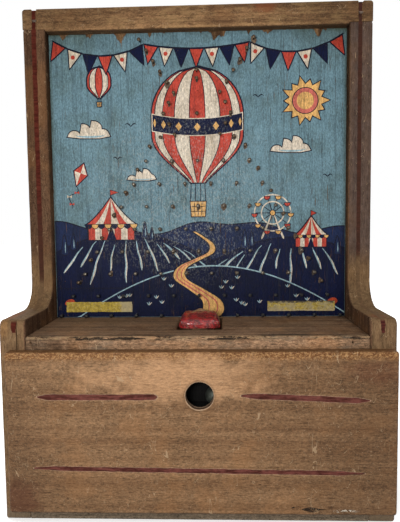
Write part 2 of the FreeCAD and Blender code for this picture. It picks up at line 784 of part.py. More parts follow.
def nails():
    """Wire nails of the case, their heads a hair proud of the wood."""
    nail = fastener(amount("nail_diameter"), amount("nail_length"), amount("nail_head_diameter"),
                    amount("head_thickness"))
    proud = amount("nail_proud")
    margin = amount("nail_margin")
    front = -amount(OUTER_DEPTH) / 2
    side_face = amount("outer_width") / 2 + proud
    run = spread(front + amount("panel_thickness") + margin, front + amount(BACK_SETBACK) - margin, 3)
    lines = {"shelf_nails": "shelf_top - shelf_thickness / 2", "bottom_nails": "bottom_thickness / 2"}
    for label, height in lines.items():
        right = [Vector(side_face, back, amount(height)) for back in run]
        left = [Vector(-side_face, back, amount(height)) for back in run]
        solids = drive(nail, right, Vector(1, 0, 0)) + drive(nail, left, Vector(-1, 0, 0))
        keep_group(label, solids)
    groove = amount("outer_width / 2 - groove_inset")
    groove_top = amount("outer_height - groove_depth") + proud
    setback = front + amount(UPPER_SETBACK)
    rail_run = (setback + margin, -front - margin)
    tops = mirrored([Vector(groove, back, groove_top) for back in rail_run])
    toes = mirrored([Vector(groove, setback + amount("groove_depth") - proud,
                            amount(f"{SIDE_HEIGHT} + rail_height / 2"))])
    tilt = math.radians(amount("toe_tilt"))
    toe_out = Vector(0, -math.cos(tilt), math.sin(tilt))
    solids = drive(nail, tops, Vector(0, 0, 1)) + drive(nail, toes, toe_out)
    keep_group("rail_nails", solids)


def brads():
    """Headed brads, punched below the surface that they hold."""
    brad = fastener(amount("brad_diameter"), amount("brad_length"), amount("brad_head_diameter"),
                    amount("head_thickness"))
    front = -amount(OUTER_DEPTH) / 2
    inset = amount("brad_inset")
    margin = amount("nail_margin")
    low = amount("panel_lift")
    high = amount(PANEL_TOP)
    left = amount(f"panel_offset - {PANEL_WIDTH} / 2") + inset
    right = amount(f"panel_offset + {PANEL_WIDTH} / 2") - inset
    spots = [(across, up) for across in (left, right) for up in spread(low + margin, high - margin, 4)]
    shelf_line = (high + amount(SHELF_UNDER)) / 2
    bottom_line = (low + amount("bottom_thickness")) / 2
    run = spread(left + 2 * margin, right - 2 * margin, 4)
    spots += [(across, up) for across in run for up in (shelf_line, bottom_line)]
    tray_reach = amount("tray_length") / 2 - inset
    tray_line = amount(f"{TRAY_FLOOR} - tray_wall / 2")
    spots += [(amount("panel_offset") + side * tray_reach, tray_line) for side in (-1, 1)]
    face = front + amount("brad_sink")
    heads = [Vector(across, face, up) for across, up in spots]
    keep_group("panel_brads", drive(brad, heads, Vector(0, -1, 0)))

    cleat_middle = amount(f"{INNER_WIDTH} / 2 - cleat_width / 2")
    heights = spread(amount("shelf_top") + 2 * margin, amount(RAIL_UNDER) - margin, 3)
    field_face = front + amount(f"{PLAYFIELD_SETBACK} + brad_sink")
    heads = mirrored([Vector(cleat_middle, field_face, up) for up in heights])
    keep_group("playfield_brads", drive(brad, heads, Vector(0, -1, 0)))

    cleat_face = amount(f"{INNER_WIDTH} / 2 - cleat_width")
    back = front + amount(f"{PLAYFIELD_SETBACK} + playfield_thickness + cleat_depth * 2 / 3")
    heights = [up - inset for up in heights]
    solids = []
    for side in (-1, 1):
        heads = [Vector(side * cleat_face, back, up) for up in heights]
        solids += drive(brad, heads, Vector(-side, 0, 0))
    keep_group("cleat_brads", solids)

    tray_back = front + amount(f"panel_thickness + {TRAY_WIDTH} + tray_wall")
    end_line = amount(f"{TRAY_FLOOR} + {TRAY_HEIGHT} / 2")
    end_reach = amount("tray_length / 2 + tray_wall / 2")
    spots = [(side * amount("tray_length") / 4, tray_line) for side in (-1, 1)]
    spots += [(side * end_reach, end_line) for side in (-1, 1)]
    tray_brad = fastener(amount("brad_diameter"), amount(f"{TRAY_WIDTH} / 2 + tray_wall"),
                         amount("brad_head_diameter"), amount("head_thickness"))
    middle = amount("panel_offset")
    tray_back += amount("nail_proud")
    heads = [Vector(middle + across, tray_back, up) for across, up in spots]
    keep_group("tray_brads", drive(tray_brad, heads, Vector(0, 1, 0)))


def screws():
    head_thickness = amount("screw_head_thickness")
    screw = fastener(amount("screw_diameter"), amount("screw_length"), amount("screw_head_diameter"),
                     head_thickness)
    front = -amount(OUTER_DEPTH) / 2
    offset = amount("flipper_offset")
    margin = amount("nail_margin")

    back_face = front + amount(f"{BACK_SETBACK} + back_thickness") + head_thickness
    reach = amount(f"{INNER_WIDTH} / 2") - margin
    lines = (amount("bottom_thickness / 2"), amount("shelf_top - shelf_thickness / 2"))
    heads = [Vector(across, back_face, up) for up in lines for across in spread(-reach, reach, 4)]
    keep_group("back_screws", drive(screw, heads, Vector(0, 1, 0)))

    block_under = amount(f"{PIVOT_HEIGHT} - bearing_below_axle") - head_thickness
    block_middle = amount("lever_width / 2 + lever_side_gap + bearing_width / 2")
    apart = amount("bearing_length / 2 - screw_head_diameter / 2 - nail_proud")
    pivot = front + amount(PIVOT_SETBACK)
    heads = [Vector(offset + side * block_middle, pivot + way * apart, block_under)
             for side in (-1, 1) for way in (-1, 1)]
    keep_group("bearing_screws", drive(screw, heads, Vector(0, 0, -1)))

    spring_under = amount(f"{SPRING_TOP} - spring_thickness") - head_thickness
    block_front = front + amount(SPRING_BLOCK_SETBACK)
    quarter = amount("spring_block_length") / 4
    heads = [Vector(offset, block_front + part * quarter, spring_under) for part in (1, 3)]
    keep_group("spring_screws", drive(screw, heads, Vector(0, 0, -1)))

    reach = head_thickness + amount(f"{SEAT_HEIGHT} - {LEVER_UNDER} + key_screw_bite")
    key_screw = fastener(amount("screw_diameter"), reach, amount("screw_head_diameter"), head_thickness)
    lever_under = amount(LEVER_UNDER) - head_thickness
    key_front = front + amount(KEY_SETBACK)
    quarter = amount("key_length") / 4
    heads = [Vector(offset, key_front + part * quarter, lever_under) for part in (1, 3)]
    keep_group("key_screws", drive(key_screw, heads, Vector(0, 0, -1)))


# ---------------------------------------------------------------- build, test and write

case_boards()
ball_tray()
flipper_action()
balls()
playfield_pins()
nails()
brads()
screws()
doc.recompute()

for thing in doc.Objects:
    if "Invalid" in thing.State or "Error" in thing.State:
        raise RuntimeError(f"{thing.Name} failed: {thing.State}")
for thing in subparts:
    if thing.Shape.isNull() or not thing.Shape.isValid():
        raise RuntimeError(f"{thing.Label} has no valid shape")

os.makedirs("parts", exist_ok=True)
for thing in subparts:
    thing.Shape.exportStep(f"parts/{thing.Label}.step")
print(len(subparts), "sub-parts written")
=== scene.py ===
"""Looks of an upright tabletop bagatelle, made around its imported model.

Metres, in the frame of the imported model: X to the right, Y to the back and Z up. Sizes are
written in millimetres, times MM.
"""

import math
import random

import bmesh
import bpy
from mathutils import Matrix, Vector, geometry, noise


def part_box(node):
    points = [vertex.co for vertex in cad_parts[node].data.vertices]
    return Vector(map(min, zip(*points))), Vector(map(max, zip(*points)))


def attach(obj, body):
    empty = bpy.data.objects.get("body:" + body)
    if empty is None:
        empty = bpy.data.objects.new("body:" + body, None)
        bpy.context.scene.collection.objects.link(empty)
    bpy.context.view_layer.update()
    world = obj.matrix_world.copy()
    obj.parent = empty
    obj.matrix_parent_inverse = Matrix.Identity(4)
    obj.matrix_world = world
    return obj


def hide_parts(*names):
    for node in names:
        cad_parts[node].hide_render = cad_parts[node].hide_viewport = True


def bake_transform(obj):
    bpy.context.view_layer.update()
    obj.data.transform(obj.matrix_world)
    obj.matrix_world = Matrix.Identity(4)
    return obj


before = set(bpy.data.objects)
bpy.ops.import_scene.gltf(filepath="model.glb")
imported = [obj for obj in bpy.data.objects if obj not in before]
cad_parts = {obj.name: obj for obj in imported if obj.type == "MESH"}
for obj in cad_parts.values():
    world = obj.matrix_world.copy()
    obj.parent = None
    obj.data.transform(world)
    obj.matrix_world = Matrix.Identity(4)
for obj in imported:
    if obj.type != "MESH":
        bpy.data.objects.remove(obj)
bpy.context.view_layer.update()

MM = 0.001
AHEAD = Vector((0, -1, 0))
ABOVE = Vector((0, 0, 1))


# ---------------------------------------------------------------- shader maths

EVEN = (1, 1, 1)
STILL = (0, 0, 0)
# Half size of a patch that goes right through the object, in millimetres.
THROUGH = 900


def tone(red, green, blue):
    """Linear colour of a screen colour whose parts run to 255."""
    parts = []
    for part in (red / 255, green / 255, blue / 255):
        parts.append(part / 12.92 if part <= 0.04045 else ((part + 0.055) / 1.055) ** 2.4)
    return (*parts, 1.0)


def grey(share):
    return (share, share, share, 1)


class Value:
    """What one socket gives; an operator on it adds a Math node."""

    def __init__(self, finish, socket):
        self.finish = finish
        self.socket = socket

    def maths(self, operation, first, second):
        return self.finish.node("ShaderNodeMath", {"operation": operation}, {0: first, 1: second})

    def __add__(self, other):
        return self.maths("ADD", self, other)

    def __sub__(self, other):
        return self.maths("SUBTRACT", self, other)

    def __rsub__(self, other):
        return self.maths("SUBTRACT", other, self)

    def __mul__(self, other):
        return self.maths("MULTIPLY", self, other)

    def __truediv__(self, other):
        return self.maths("DIVIDE", self, other)

    def __pow__(self, other):
        return self.maths("POWER", self, other)

    def __or__(self, other):
        """The larger of two masks."""
        return self.maths("MAXIMUM", self, other)

    __radd__ = __add__
    __rmul__ = __mul__


class Finish:
    """The nodes of a new material, or of a new world."""

    def __init__(self, name, kind="materials"):
        self.owner = getattr(bpy.data, kind).new(name)
        self.owner.use_nodes = True
        self.tree = self.owner.node_tree
        self.tree.nodes.clear()
        self.places = {}

    def node(self, kind, settings=None, values=None, output=0):
        """Adds a node: its settings come first, then the values or links of its sockets."""
        made = self.tree.nodes.new(kind)
        for name, setting in (settings or {}).items():
            setattr(made, name, setting)
        for socket, value in (values or {}).items():
            if isinstance(value, Value):
                self.tree.links.new(value.socket, made.inputs[socket])
            elif made.inputs[socket].type == "VECTOR":
                made.inputs[socket].default_value = value[:3]
            else:
                made.inputs[socket].default_value = value
        return Value(self, made.outputs[output]) if made.outputs else None

    def outputs(self, kind, wanted, values=None):
        """The wanted outputs of a new node."""
        sockets = self.node(kind, values=values).socket.node.outputs
        return [Value(self, sockets[name]) for name in wanted]

    def place(self, stretch=EVEN, shift=STILL):
        """Place on the object in millimetres, stretched along its axes; one node for each way."""
        way = (tuple(stretch), tuple(shift))
        if way not in self.places:
            here = self.node("ShaderNodeTexCoord", output="Object")
            scale = tuple(share / MM for share in stretch)
            values = {"Vector": here, "Location": shift, "Scale": scale}
            self.places[way] = self.node("ShaderNodeMapping", values=values)
        return self.places[way]

    def axes(self):
        """Places across, back and up on the object, in millimetres."""
        return self.outputs("ShaderNodeSeparateXYZ", range(3), {0: self.place()})

    def rays(self, *kinds):
        """1 for a ray of one of the kinds, else 0."""
        first, *others = self.outputs("ShaderNodeLightPath", [f"Is {kind} Ray" for kind in kinds])
        for other in others:
            first = first | other
        return first

    def attribute(self, name, output="Fac"):
        return self.node("ShaderNodeAttribute", {"attribute_name": name}, output=output)

    def vector(self, operation, values, output=0):
        return self.node("ShaderNodeVectorMath", {"operation": operation}, values, output)

    def length(self, vector):
        return self.vector("LENGTH", {0: vector}, output="Value")

    def cloud(self, size, detail=2.0, roughness=0.5, stretch=EVEN, shift=STILL, warp=0.0, output=0):
        """Cloudy noise, with patches of about the given size in millimetres."""
        values = {"Vector": self.place(stretch, shift), "Scale": 1 / size, "Detail": detail,
                  "Roughness": roughness, "Distortion": warp}
        return self.node("ShaderNodeTexNoise", values=values, output=output)

    def ramp(self, value, low, high):
        """Smooth step of a value from 0 at low to 1 at high, which may be the lower one."""
        values = {"Value": value, "From Min": min(low, high), "From Max": max(low, high)}
        if low > high:
            values.update({"To Min": 1.0, "To Max": 0.0})
        return self.node("ShaderNodeMapRange", {"interpolation_type": "SMOOTHSTEP"}, values)

    def patches(self, low, high, *size, **shape):
        """Mask of patches: where cloudy noise passes from low to high."""
        return self.ramp(self.cloud(*size, **shape), low, high)

    def smudge(self, middle, reach, ragged=0.8, grain=8.0):
        """Mask of a ragged patch about a place; a reach is its half size along an axis."""
        shares = tuple(1 / part for part in reach)
        shift = tuple(-part * share for part, share in zip(middle, shares))
        far = self.length(self.place(shares, shift))
        return self.ramp(far + (self.cloud(grain, 4, 0.7) - 0.5) * ragged, 1.0, 0.35)

    def mix(self, share, first, second, way="MIX"):
        """Mixes two colours; the node's sockets have like names, so they are numbered."""
        return self.node("ShaderNodeMix", {"data_type": "RGBA", "blend_type": way},
                         {0: share, 6: first, 7: second}, output=2)

    def lay(self, colour, *coats):
        """The colour under coats, each of them a mask and what it brings, the lowest first."""
        for mask, brought in coats:
            colour = self.mix(mask, colour, brought)
        return colour

    def shade(self, colour, factor):
        """The colour, or any vector, times a number that varies."""
        return self.vector("SCALE", {0: colour, "Scale": factor})

    def done(self, colour, roughness, height=None, depth=0.2, metallic=0.0, coat=0.0, coat_roughness=0.3,
             specular=0.5):
        """Ends the tree; the height is in parts of the depth, which is in millimetres."""
        values = {"Base Color": colour, "Roughness": roughness, "Metallic": metallic, "Coat Weight": coat,
                  "Coat Roughness": coat_roughness, "Specular IOR Level": specular}
        if height is not None:
            values["Normal"] = self.node("ShaderNodeBump", values={"Height": height, "Strength": 1.0,
                                                                   "Distance": depth * MM})
        surface = self.node("ShaderNodeBsdfPrincipled", values=values)
        self.node("ShaderNodeOutputMaterial", values={"Surface": surface})
        return self.owner


# ---------------------------------------------------------------- camera, floor and light

CAMERA_PLACE = Vector((20.7, -499.3, 256.9)) * MM
CAMERA_YAW = -0.037
CAMERA_PITCH = -0.074
CAMERA_ROLL = -0.012
CAMERA_LENS = 36.43
ROOM_GLOW = 0.26
FLOOR_REACH = 6.0
# Where the floor's own pale glow starts and is full, in millimetres from its middle.
GLOW_START, GLOW_FULL = 450, 1500
# Place, aim, size and power of each lamp.
LAMPS = {
    "key_lamp": ((-0.10, -0.64, 0.31), (0, -0.02, 0.2), 0.16, 2.55),
    "top_lamp": ((0.5, -0.5, 1.5), (0, 0, 0.2), 0.9, 4.5),
    "back_lamp": ((-0.5, 1.3, 0.9), (0, 0, 0.2), 0.8, 12.0),
    "left_lamp": ((-1.2, 0.5, 0.6), (-0.17, 0.02, 0.2), 0.6, 6.5),
    "right_lamp": ((1.2, 0.5, 0.6), (0.17, 0.02, 0.2), 0.6, 6.5),
}


def link(name, data):
    """A new object in the scene."""
    made = bpy.data.objects.new(name, data)
    bpy.context.scene.collection.objects.link(made)
    return made


def make_camera():
    data = bpy.data.cameras.new("camera")
    data.lens = CAMERA_LENS
    data.clip_start = 10 * MM
    ahead = Vector((math.sin(CAMERA_YAW) * math.cos(CAMERA_PITCH),
                    math.cos(CAMERA_YAW) * math.cos(CAMERA_PITCH),
                    math.sin(CAMERA_PITCH)))
    level = Vector((math.cos(CAMERA_YAW), -math.sin(CAMERA_YAW), 0))
    upright = level.cross(ahead)
    right = level * math.cos(CAMERA_ROLL) + upright * math.sin(CAMERA_ROLL)
    up = upright * math.cos(CAMERA_ROLL) - level * math.sin(CAMERA_ROLL)
    camera = link("camera", data)
    camera.matrix_world = Matrix.Translation(CAMERA_PLACE) @ Matrix((right, up, -ahead)).transposed().to_4x4()
    bpy.context.scene.camera = camera


def light_the_room():
    """A small lamp by the camera, broad ones above, behind and beside, and an even pale room."""
    for name, (place, aim, size, power) in LAMPS.items():
        data = bpy.data.lights.new(name, "AREA")
        data.shape = "DISK"
        data.size = size
        data.energy = power
        lamp = link(name, data)
        lamp.location = place
        lamp.rotation_euler = (Vector(aim) - Vector(place)).to_track_quat("-Z", "Y").to_euler()
    room = Finish("room", "worlds")
    strength = room.rays("Camera", "Transmission", "Glossy") | ROOM_GLOW
    glow = room.node("ShaderNodeBackground", values={"Color": grey(1), "Strength": strength})
    room.node("ShaderNodeOutputWorld", values={"Surface": glow})
    bpy.context.scene.world = room.owner


def make_floor():
    mesh = bpy.data.meshes.new("floor")
    corners = [(across * FLOOR_REACH, back * FLOOR_REACH, 0)
               for across, back in ((-1, -1), (1, -1), (1, 1), (-1, 1))]
    mesh.from_pydata(corners, [], [(0, 1, 2, 3)])
    finish = Finish("pale_floor")
    matt = finish.node("ShaderNodeBsdfDiffuse", values={"Color": grey(0.86)})
    far = finish.length(finish.place())
    glow = finish.mix(finish.ramp(far, GLOW_START, GLOW_FULL), grey(0.5), grey(0.85))
    glow = finish.node("ShaderNodeEmission", values={"Color": glow, "Strength": 1.0})
    both = finish.node("ShaderNodeAddShader", values={0: matt, 1: glow})
    seen = finish.rays("Camera", "Glossy", "Transmission")
    shown = finish.node("ShaderNodeMixShader", values={0: seen, 1: matt, 2: both})
    finish.node("ShaderNodeOutputMaterial", values={"Surface": shown})
    mesh.materials.append(finish.owner)
    link("floor", mesh)


# ---------------------------------------------------------------- wood

ACROSS = {"X": (0, 1, 1), "Y": (1, 0, 1), "Z": (1, 1, 0)}


class Timber:
    """Grain of a sawn board: growth rings about a far pith, lanes, hairlines, short flecks and pores."""

    def __init__(self, finish, along, pith, ring=5.0, figure=0.5):
        self.finish = finish
        self.figure = figure

        def drawn(share, *size, **more):
            """Noise drawn out along the board."""
            stretch = [1.0, 1.0, 1.0]
            stretch["XYZ".index(along)] = share
            return finish.cloud(*size, stretch=stretch, **more)

        sway = finish.shade(drawn(0.012, 26, 2, output="Color"), 14.0)
        reach = finish.length(finish.vector("ADD", {0: finish.place(ACROSS[along], pith), 1: sway}))
        saw = finish.node("ShaderNodeMath", {"operation": "FRACT"}, {0: reach / ring})
        self.rings = saw ** 2.2 * finish.ramp(saw, 1.0, 0.88)
        self.lanes = drawn(0.02, 6.0, 3, 0.55, warp=0.2)
        self.streaks = drawn(0.05, 1.3, 5, 0.72)
        self.pores = finish.ramp(drawn(0.05, 0.55, 2, 0.6, shift=(4, 4, 4)), 0.60, 0.72)
        self.flecks = drawn(0.42, 1.7, 5, 0.85)
        self.grain = drawn(0.6, 1.1, 3, 0.85)
        self.mottle = drawn(0.75, 6.5, 6, 0.8)
        self.cloud = finish.cloud(62, 3, 0.55)

    def colour(self, pale, mid, dark):
        finish, figure = self.finish, self.figure
        body = finish.lay(
            mid,
            (finish.ramp(self.lanes, 0.36, 0.66) * min(1.0, 0.25 + figure * 1.5), pale),
            (finish.ramp(self.lanes, 0.48, 0.30) * figure * 0.7, dark),
            (self.rings * figure, dark),
            (finish.ramp(self.streaks, 0.52, 0.68) * (0.08 + figure * 0.5), dark),
            (self.pores * 0.55, dark))
        uneven = self.flecks * 2.3 + self.grain * 2.5 + self.mottle + self.cloud * 0.5 - 2.12
        return finish.shade(body, uneven)

    def relief(self):
        return self.streaks * 0.5 + self.flecks * 0.7 - self.pores * 0.7 - self.rings * 0.2


def scratches(finish, stretch, shift):
    """Fine curved scratches: level lines of a warped noise, kept only in small patches."""
    line = finish.cloud(7.0, 1, 0.4, stretch, shift, warp=1.2)
    near = finish.node("ShaderNodeMath", {"operation": "COMPARE"}, {0: line, 1: 0.5, 2: 0.007})
    return near * finish.patches(0.56, 0.62, 13, 2, shift=shift)


def board_finish(name, along, pith, tones, worn=None, soot=0.35, gloss=0.66, ring=5.0, figure=0.4,
                 specular=0.09, extra=None):
    """Old thinly varnished board: uneven, with grime in patches, rubbed edges and fine scratches.

    The tones are the wood's pale, middle and dark one. The extra function adds what one board
    alone has: it takes the finish and the colour.
    """
    finish = Finish(name)
    timber = Timber(finish, along, pith, ring, figure)
    grime = finish.patches(0.50, 0.66, 30, 5, 0.66, warp=0.5)
    dents = finish.patches(0.70, 0.75, 1.6, 3, 0.7, shift=(3, 30, 1))
    colour = finish.lay(
        timber.colour(*tones),
        (grime * soot, tone(76, 49, 32)),
        (finish.patches(0.50, 0.66, 44, 4, 0.6, shift=(40, 9, 3)) * 0.22, tone(160, 112, 70)),
        (finish.patches(0.69, 0.75, 1.3, 3, 0.7, shift=(7, 3, 11)) * 0.55, tone(192, 164, 128)),
        (dents * 0.7, tone(48, 34, 26)))
    if extra:
        colour = extra(finish, colour)
    edge = finish.attribute("edge") * 0.5
    rubbed = finish.ramp(edge + finish.cloud(4.5, 5, 0.74) * 0.8, 0.84, 0.98)
    knocked = finish.ramp(edge + finish.cloud(5, 4, 0.7, shift=(9, 9, 2)) * 0.8, 0.93, 1.0)
    marks = scratches(finish, (1, 1, 0.2), STILL) | scratches(finish, (0.8, 1, 0.8), (31, 5, 17))
    colour = finish.lay(
        colour,
        (rubbed * 0.6, worn or tones[0]),
        (knocked * 0.75, tone(44, 32, 25)),
        (marks * 0.5, tone(188, 160, 126)))
    rough = gloss + 0.3 * (timber.mottle - 0.5) + 0.10 * grime
    return finish.done(colour, rough, timber.relief() - marks * 0.4 - dents * 0.8, 0.3, specular=specular)


def raw_wood_finish(name, along, pith, tones):
    """Unfinished sawn softwood, with saw marks across its grain."""
    finish = Finish(name)
    timber = Timber(finish, along, pith, 4.2)
    course = finish.axes()["XYZ".index(along)]
    wave = finish.node("ShaderNodeMath", {"operation": "SINE"}, {0: course * 2.3})
    colour = finish.shade(timber.colour(*tones), 0.97 + wave * 0.03)
    return finish.done(colour, 0.82 + timber.streaks * 0.1, timber.relief() + wave * 0.25, 0.25, specular=0.2)


# ---------------------------------------------------------------- pieces

WELD = 0.002 * MM


def box_mm(node):
    low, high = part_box(node)
    return low / MM, high / MM


def from_shape(name, shape):
    """A piece from a bmesh, which this frees."""
    mesh = bpy.data.meshes.new(name)
    shape.to_mesh(mesh)
    shape.free()
    return link(name, mesh)


def settle(piece):
    """The piece with its modifiers worked into a plain mesh."""
    graph = bpy.context.evaluated_depsgraph_get()
    made = bpy.data.meshes.new_from_object(piece.evaluated_get(graph), preserve_all_data_layers=True,
                                           depsgraph=graph)
    piece.modifiers.clear()
    piece.data = made
    return piece


def wear(piece, material, slot, *nodes):
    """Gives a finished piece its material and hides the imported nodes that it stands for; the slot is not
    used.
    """
    piece.data.materials.clear()
    piece.data.materials.append(material)
    if nodes:
        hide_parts(*nodes)


def clothe(piece, material, slot, *nodes, body="cabinet"):
    """Dresses a finished piece that rides on a body."""
    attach(piece, body)
    wear(piece, material, slot, *nodes)


def packed_shape(node):
    """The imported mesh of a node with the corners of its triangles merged."""
    shape = bmesh.new()
    shape.from_mesh(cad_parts[node].data)
    bmesh.ops.remove_doubles(shape, verts=shape.verts, dist=WELD)
    return shape


def skin(shape, rings, ends=True):
    """Faces from each ring of verts to the next, and over the first and the last."""
    for near, far in zip(rings, rings[1:]):
        for number in range(len(near)):
            follow = (number + 1) % len(near)
            shape.faces.new([near[number], near[follow], far[follow], far[number]])
    if ends:
        shape.faces.new(rings[0])
        shape.faces.new(rings[-1][::-1])
        bmesh.ops.recalc_face_normals(shape, faces=shape.faces)


def slice_up(shape, pitch):
    """Cuts the faces of a shape along evenly spaced planes, so that they can be worked."""
    corners = [vert.co for vert in shape.verts]
    for axis in range(3):
        low = min(corner[axis] for corner in corners)
        high = max(corner[axis] for corner in corners)
        count = int((high - low) / pitch)
        normal = Vector((0, 0, 0))
        normal[axis] = 1
        for number in range(1, count):
            everything = shape.verts[:] + shape.edges[:] + shape.faces[:]
            bmesh.ops.bisect_plane(shape, geom=everything, dist=0.01 * MM,
                                   plane_co=normal * (low + (high - low) * number / count), plane_no=normal)


def rounded(name, node, radius, dent, seed, pitch=9.0, segments=3):
    """A packed board with uneven rounded edges; its attribute edge is 1 along them."""
    shape = packed_shape(node)
    bmesh.ops.dissolve_limit(shape, angle_limit=math.radians(1), verts=shape.verts, edges=shape.edges)
    strip = shape.faces.layers.int.new("strip")
    edge_layer = shape.verts.layers.float.new("edge")
    crease = math.radians(28)
    sharp = [edge for edge in shape.edges if len(edge.link_faces) == 2 and edge.calc_face_angle() > crease]
    made = bmesh.ops.bevel(shape, geom=sharp, offset=radius * MM, offset_type="OFFSET", segments=segments,
                           profile=0.5, affect="EDGES", clamp_overlap=True)
    for face in made["faces"]:
        face[strip] = 1
    slice_up(shape, pitch * MM)
    shift = Vector((seed * 3.7, seed * 1.3, 0))
    coarse, fine = 11 * MM, 4 * MM
    shape.normal_update()
    for vert in shape.verts:
        if all(face[strip] for face in vert.link_faces):
            vert[edge_layer] = 1.0
            bite = max(0.0, noise.noise(vert.co / coarse + shift))
            bite += 0.35 * noise.noise(vert.co / fine + shift)
            vert.co -= vert.normal * max(0.0, bite) * dent * 2 * MM
    for face in shape.faces:
        face.smooth = True
    piece = from_shape(name, shape)
    piece.modifiers.new("flats", "WEIGHTED_NORMAL").keep_sharp = True
    return settle(piece)


def carve(piece, cutters):
    """Takes the cutters away from a piece and deletes them."""
    for cutter in cutters:
        knife = piece.modifiers.new("knife", "BOOLEAN")
        knife.operation = "DIFFERENCE"
        knife.solver = "EXACT"
        knife.object = cutter
    settle(piece)
    for cutter in cutters:
        bpy.data.objects.remove(cutter)
    return piece


def block(low, high):
    """Plain block between two corners in millimetres, used as a cutter."""
    shape = bmesh.new()
    bmesh.ops.create_cube(shape, size=1.0)
    size = Vector(high) - Vector(low)
    middle = (Vector(high) + Vector(low)) / 2
    for vert in shape.verts:
        vert.co = (middle + Vector(part * whole for part, whole in zip(vert.co, size))) * MM
    return from_shape("cutter", shape)


# ---------------------------------------------------------------- flat painted shapes

SKY = tone(105, 134, 144)
NAVY = tone(16, 18, 38)
NIGHT = tone(8, 16, 48)
DEEP = tone(6, 13, 43)
DUSK = tone(26, 38, 70)
CREAM = tone(214, 200, 180)
FOAM = tone(150, 178, 186)
RED = tone(186, 70, 56)
ROSE = tone(196, 104, 92)
SAND = tone(218, 170, 104)


class Film:
    """Thin closed plates on an upright face, each with a colour of its own."""

    LAYER = 0.022
    SHARP = (0.01, 0.01)

    def __init__(self, name, face):
        self.name = name
        self.face = face
        self.shape = bmesh.new()
        self.paint = self.shape.verts.layers.float_color.new("paint")

    def plate(self, outline, colour, layer):
        """Adds a plate with the given outline of (across, up) points, in millimetres."""
        rings = []
        for back in (self.face - self.LAYER * (layer + 1), self.face + self.LAYER):
            ring = [self.shape.verts.new(Vector((across, back, up)) * MM) for across, up in outline]
            for vert in ring:
                vert[self.paint] = colour
            rings.append(ring)
        flat = [Vector((across, up, 0)) for across, up in outline]
        for triangle in geometry.tessellate_polygon([flat]):
            for ring in rings:
                self.shape.faces.new([ring[number] for number in triangle])
        skin(self.shape, rings, ends=False)

    def outlined(self, outline, colour, layer, width, line=NAVY):
        """A plate over a slightly larger one in the line's colour."""
        self.plate(grown(outline, width), line, layer)
        self.plate(outline, colour, layer + 1)

    def stroke(self, points, width, colour, layer, ends=SHARP, waver=0.0, seed=0):
        """A brush stroke along a line."""
        self.plate(brush(points, width, ends, waver, seed), colour, layer)

    def bar(self, start, stop, width, colour, layer, ends=SHARP):
        """A straight brush stroke."""
        self.stroke(straight(start, stop), width, colour, layer, ends)

    def done(self):
        bmesh.ops.recalc_face_normals(self.shape, faces=self.shape.faces)
        return from_shape(self.name, self.shape)


def turning(points):
    """Twice the area of a closed outline, positive if it runs anticlockwise."""
    following = points[1:] + points[:1]
    return sum(a[0] * b[1] - b[0] * a[1] for a, b in zip(points, following))


def grown(points, width):
    """A closed outline pushed out by a width, with its corners cut short."""
    sign = 1 if turning(points) > 0 else -1
    made = []
    for before, here, after in zip(points[-1:] + points[:-1], points, points[1:] + points[:1]):
        arrive = Vector((here[0] - before[0], here[1] - before[1])).normalized()
        leave = Vector((after[0] - here[0], after[1] - here[1])).normalized()
        out = Vector((arrive.y + leave.y, -arrive.x - leave.x))
        if out.length < 0.2:
            out = Vector((arrive.y, -arrive.x))
        out = out.normalized() * sign
        lengthen = min(1.8, 1 / max(0.2, abs(out.dot(Vector((arrive.y, -arrive.x)) * sign))))
        made.append((here[0] + out.x * width * lengthen, here[1] + out.y * width * lengthen))
    return made


def arc(across, up, wide, tall=None, start=0.0, stop=360.0, count=28):
    tall = wide if tall is None else tall
    closed = abs(stop - start) >= 360
    steps = count if closed else count - 1
    turns = [math.radians(start + (stop - start) * number / steps) for number in range(count)]
    return [(across + wide * math.cos(turn), up + tall * math.sin(turn)) for turn in turns]


def smooth(points, steps, closed=True):
    """A curve through the given points."""
    count = len(points)
    made = []
    for number in range(count if closed else count - 1):
        spots = []
        for index in range(number - 1, number + 3):
            index = index % count if closed else min(max(index, 0), count - 1)
            spots.append(Vector(points[index]))
        before, here, ahead, after = spots
        for step in range(steps):
            part = step / steps
            spot = 0.5 * (2 * here + (ahead - before) * part
                          + (2 * before - 5 * here + 4 * ahead - after) * part ** 2
                          + (3 * here - before - 3 * ahead + after) * part ** 3)
            made.append((spot.x, spot.y))
    if not closed:
        made.append(tuple(points[-1]))
    return made


def brush(points, width, ends, waver, seed):
    """Outline of a brush stroke along a line, narrower at its ends and a little uneven."""
    spots = [Vector(point) for point in points]
    reach = [0.0]
    for before, after in zip(spots, spots[1:]):
        reach.append(reach[-1] + (after - before).length)
    near, far = [], []
    for number, spot in enumerate(spots):
        ahead = spots[min(number + 1, len(spots) - 1)] - spots[max(number - 1, 0)]
        out = Vector((-ahead.y, ahead.x)).normalized()
        share = reach[number] / reach[-1]
        fill = min(1.0, share / ends[0], (1 - share) / ends[1])
        half = width / 2 * (0.25 + 0.75 * math.sin(math.pi / 2 * max(fill, 0)))
        for edge, side in ((near, 1), (far, -1)):
            wobble = waver * noise.noise(Vector((reach[number] * 0.16, side * 7.3, seed * 5.1)))
            edge.append(tuple(spot + out * side * (half + wobble)))
    return near + far[::-1]


def straight(start, stop, pitch=2.0):
    count = max(2, int((Vector(stop) - Vector(start)).length / pitch))
    return [tuple(Vector(start).lerp(Vector(stop), number / count)) for number in range(count + 1)]


# ---------------------------------------------------------------- picture on the playfield

# Middle and half width of the road, far end first.
ROAD = ((-4, 247, 1.3), (5, 241, 1.7), (13, 234, 2.3), (12, 226, 3.0), (-2, 219, 3.8), (-17, 211, 4.8),
        (-19, 200, 6.2), (-3, 189, 7.8), (12, 178, 9.4), (14, 168, 10.8), (9, 161.5, 11.6))
RIDGE = 251
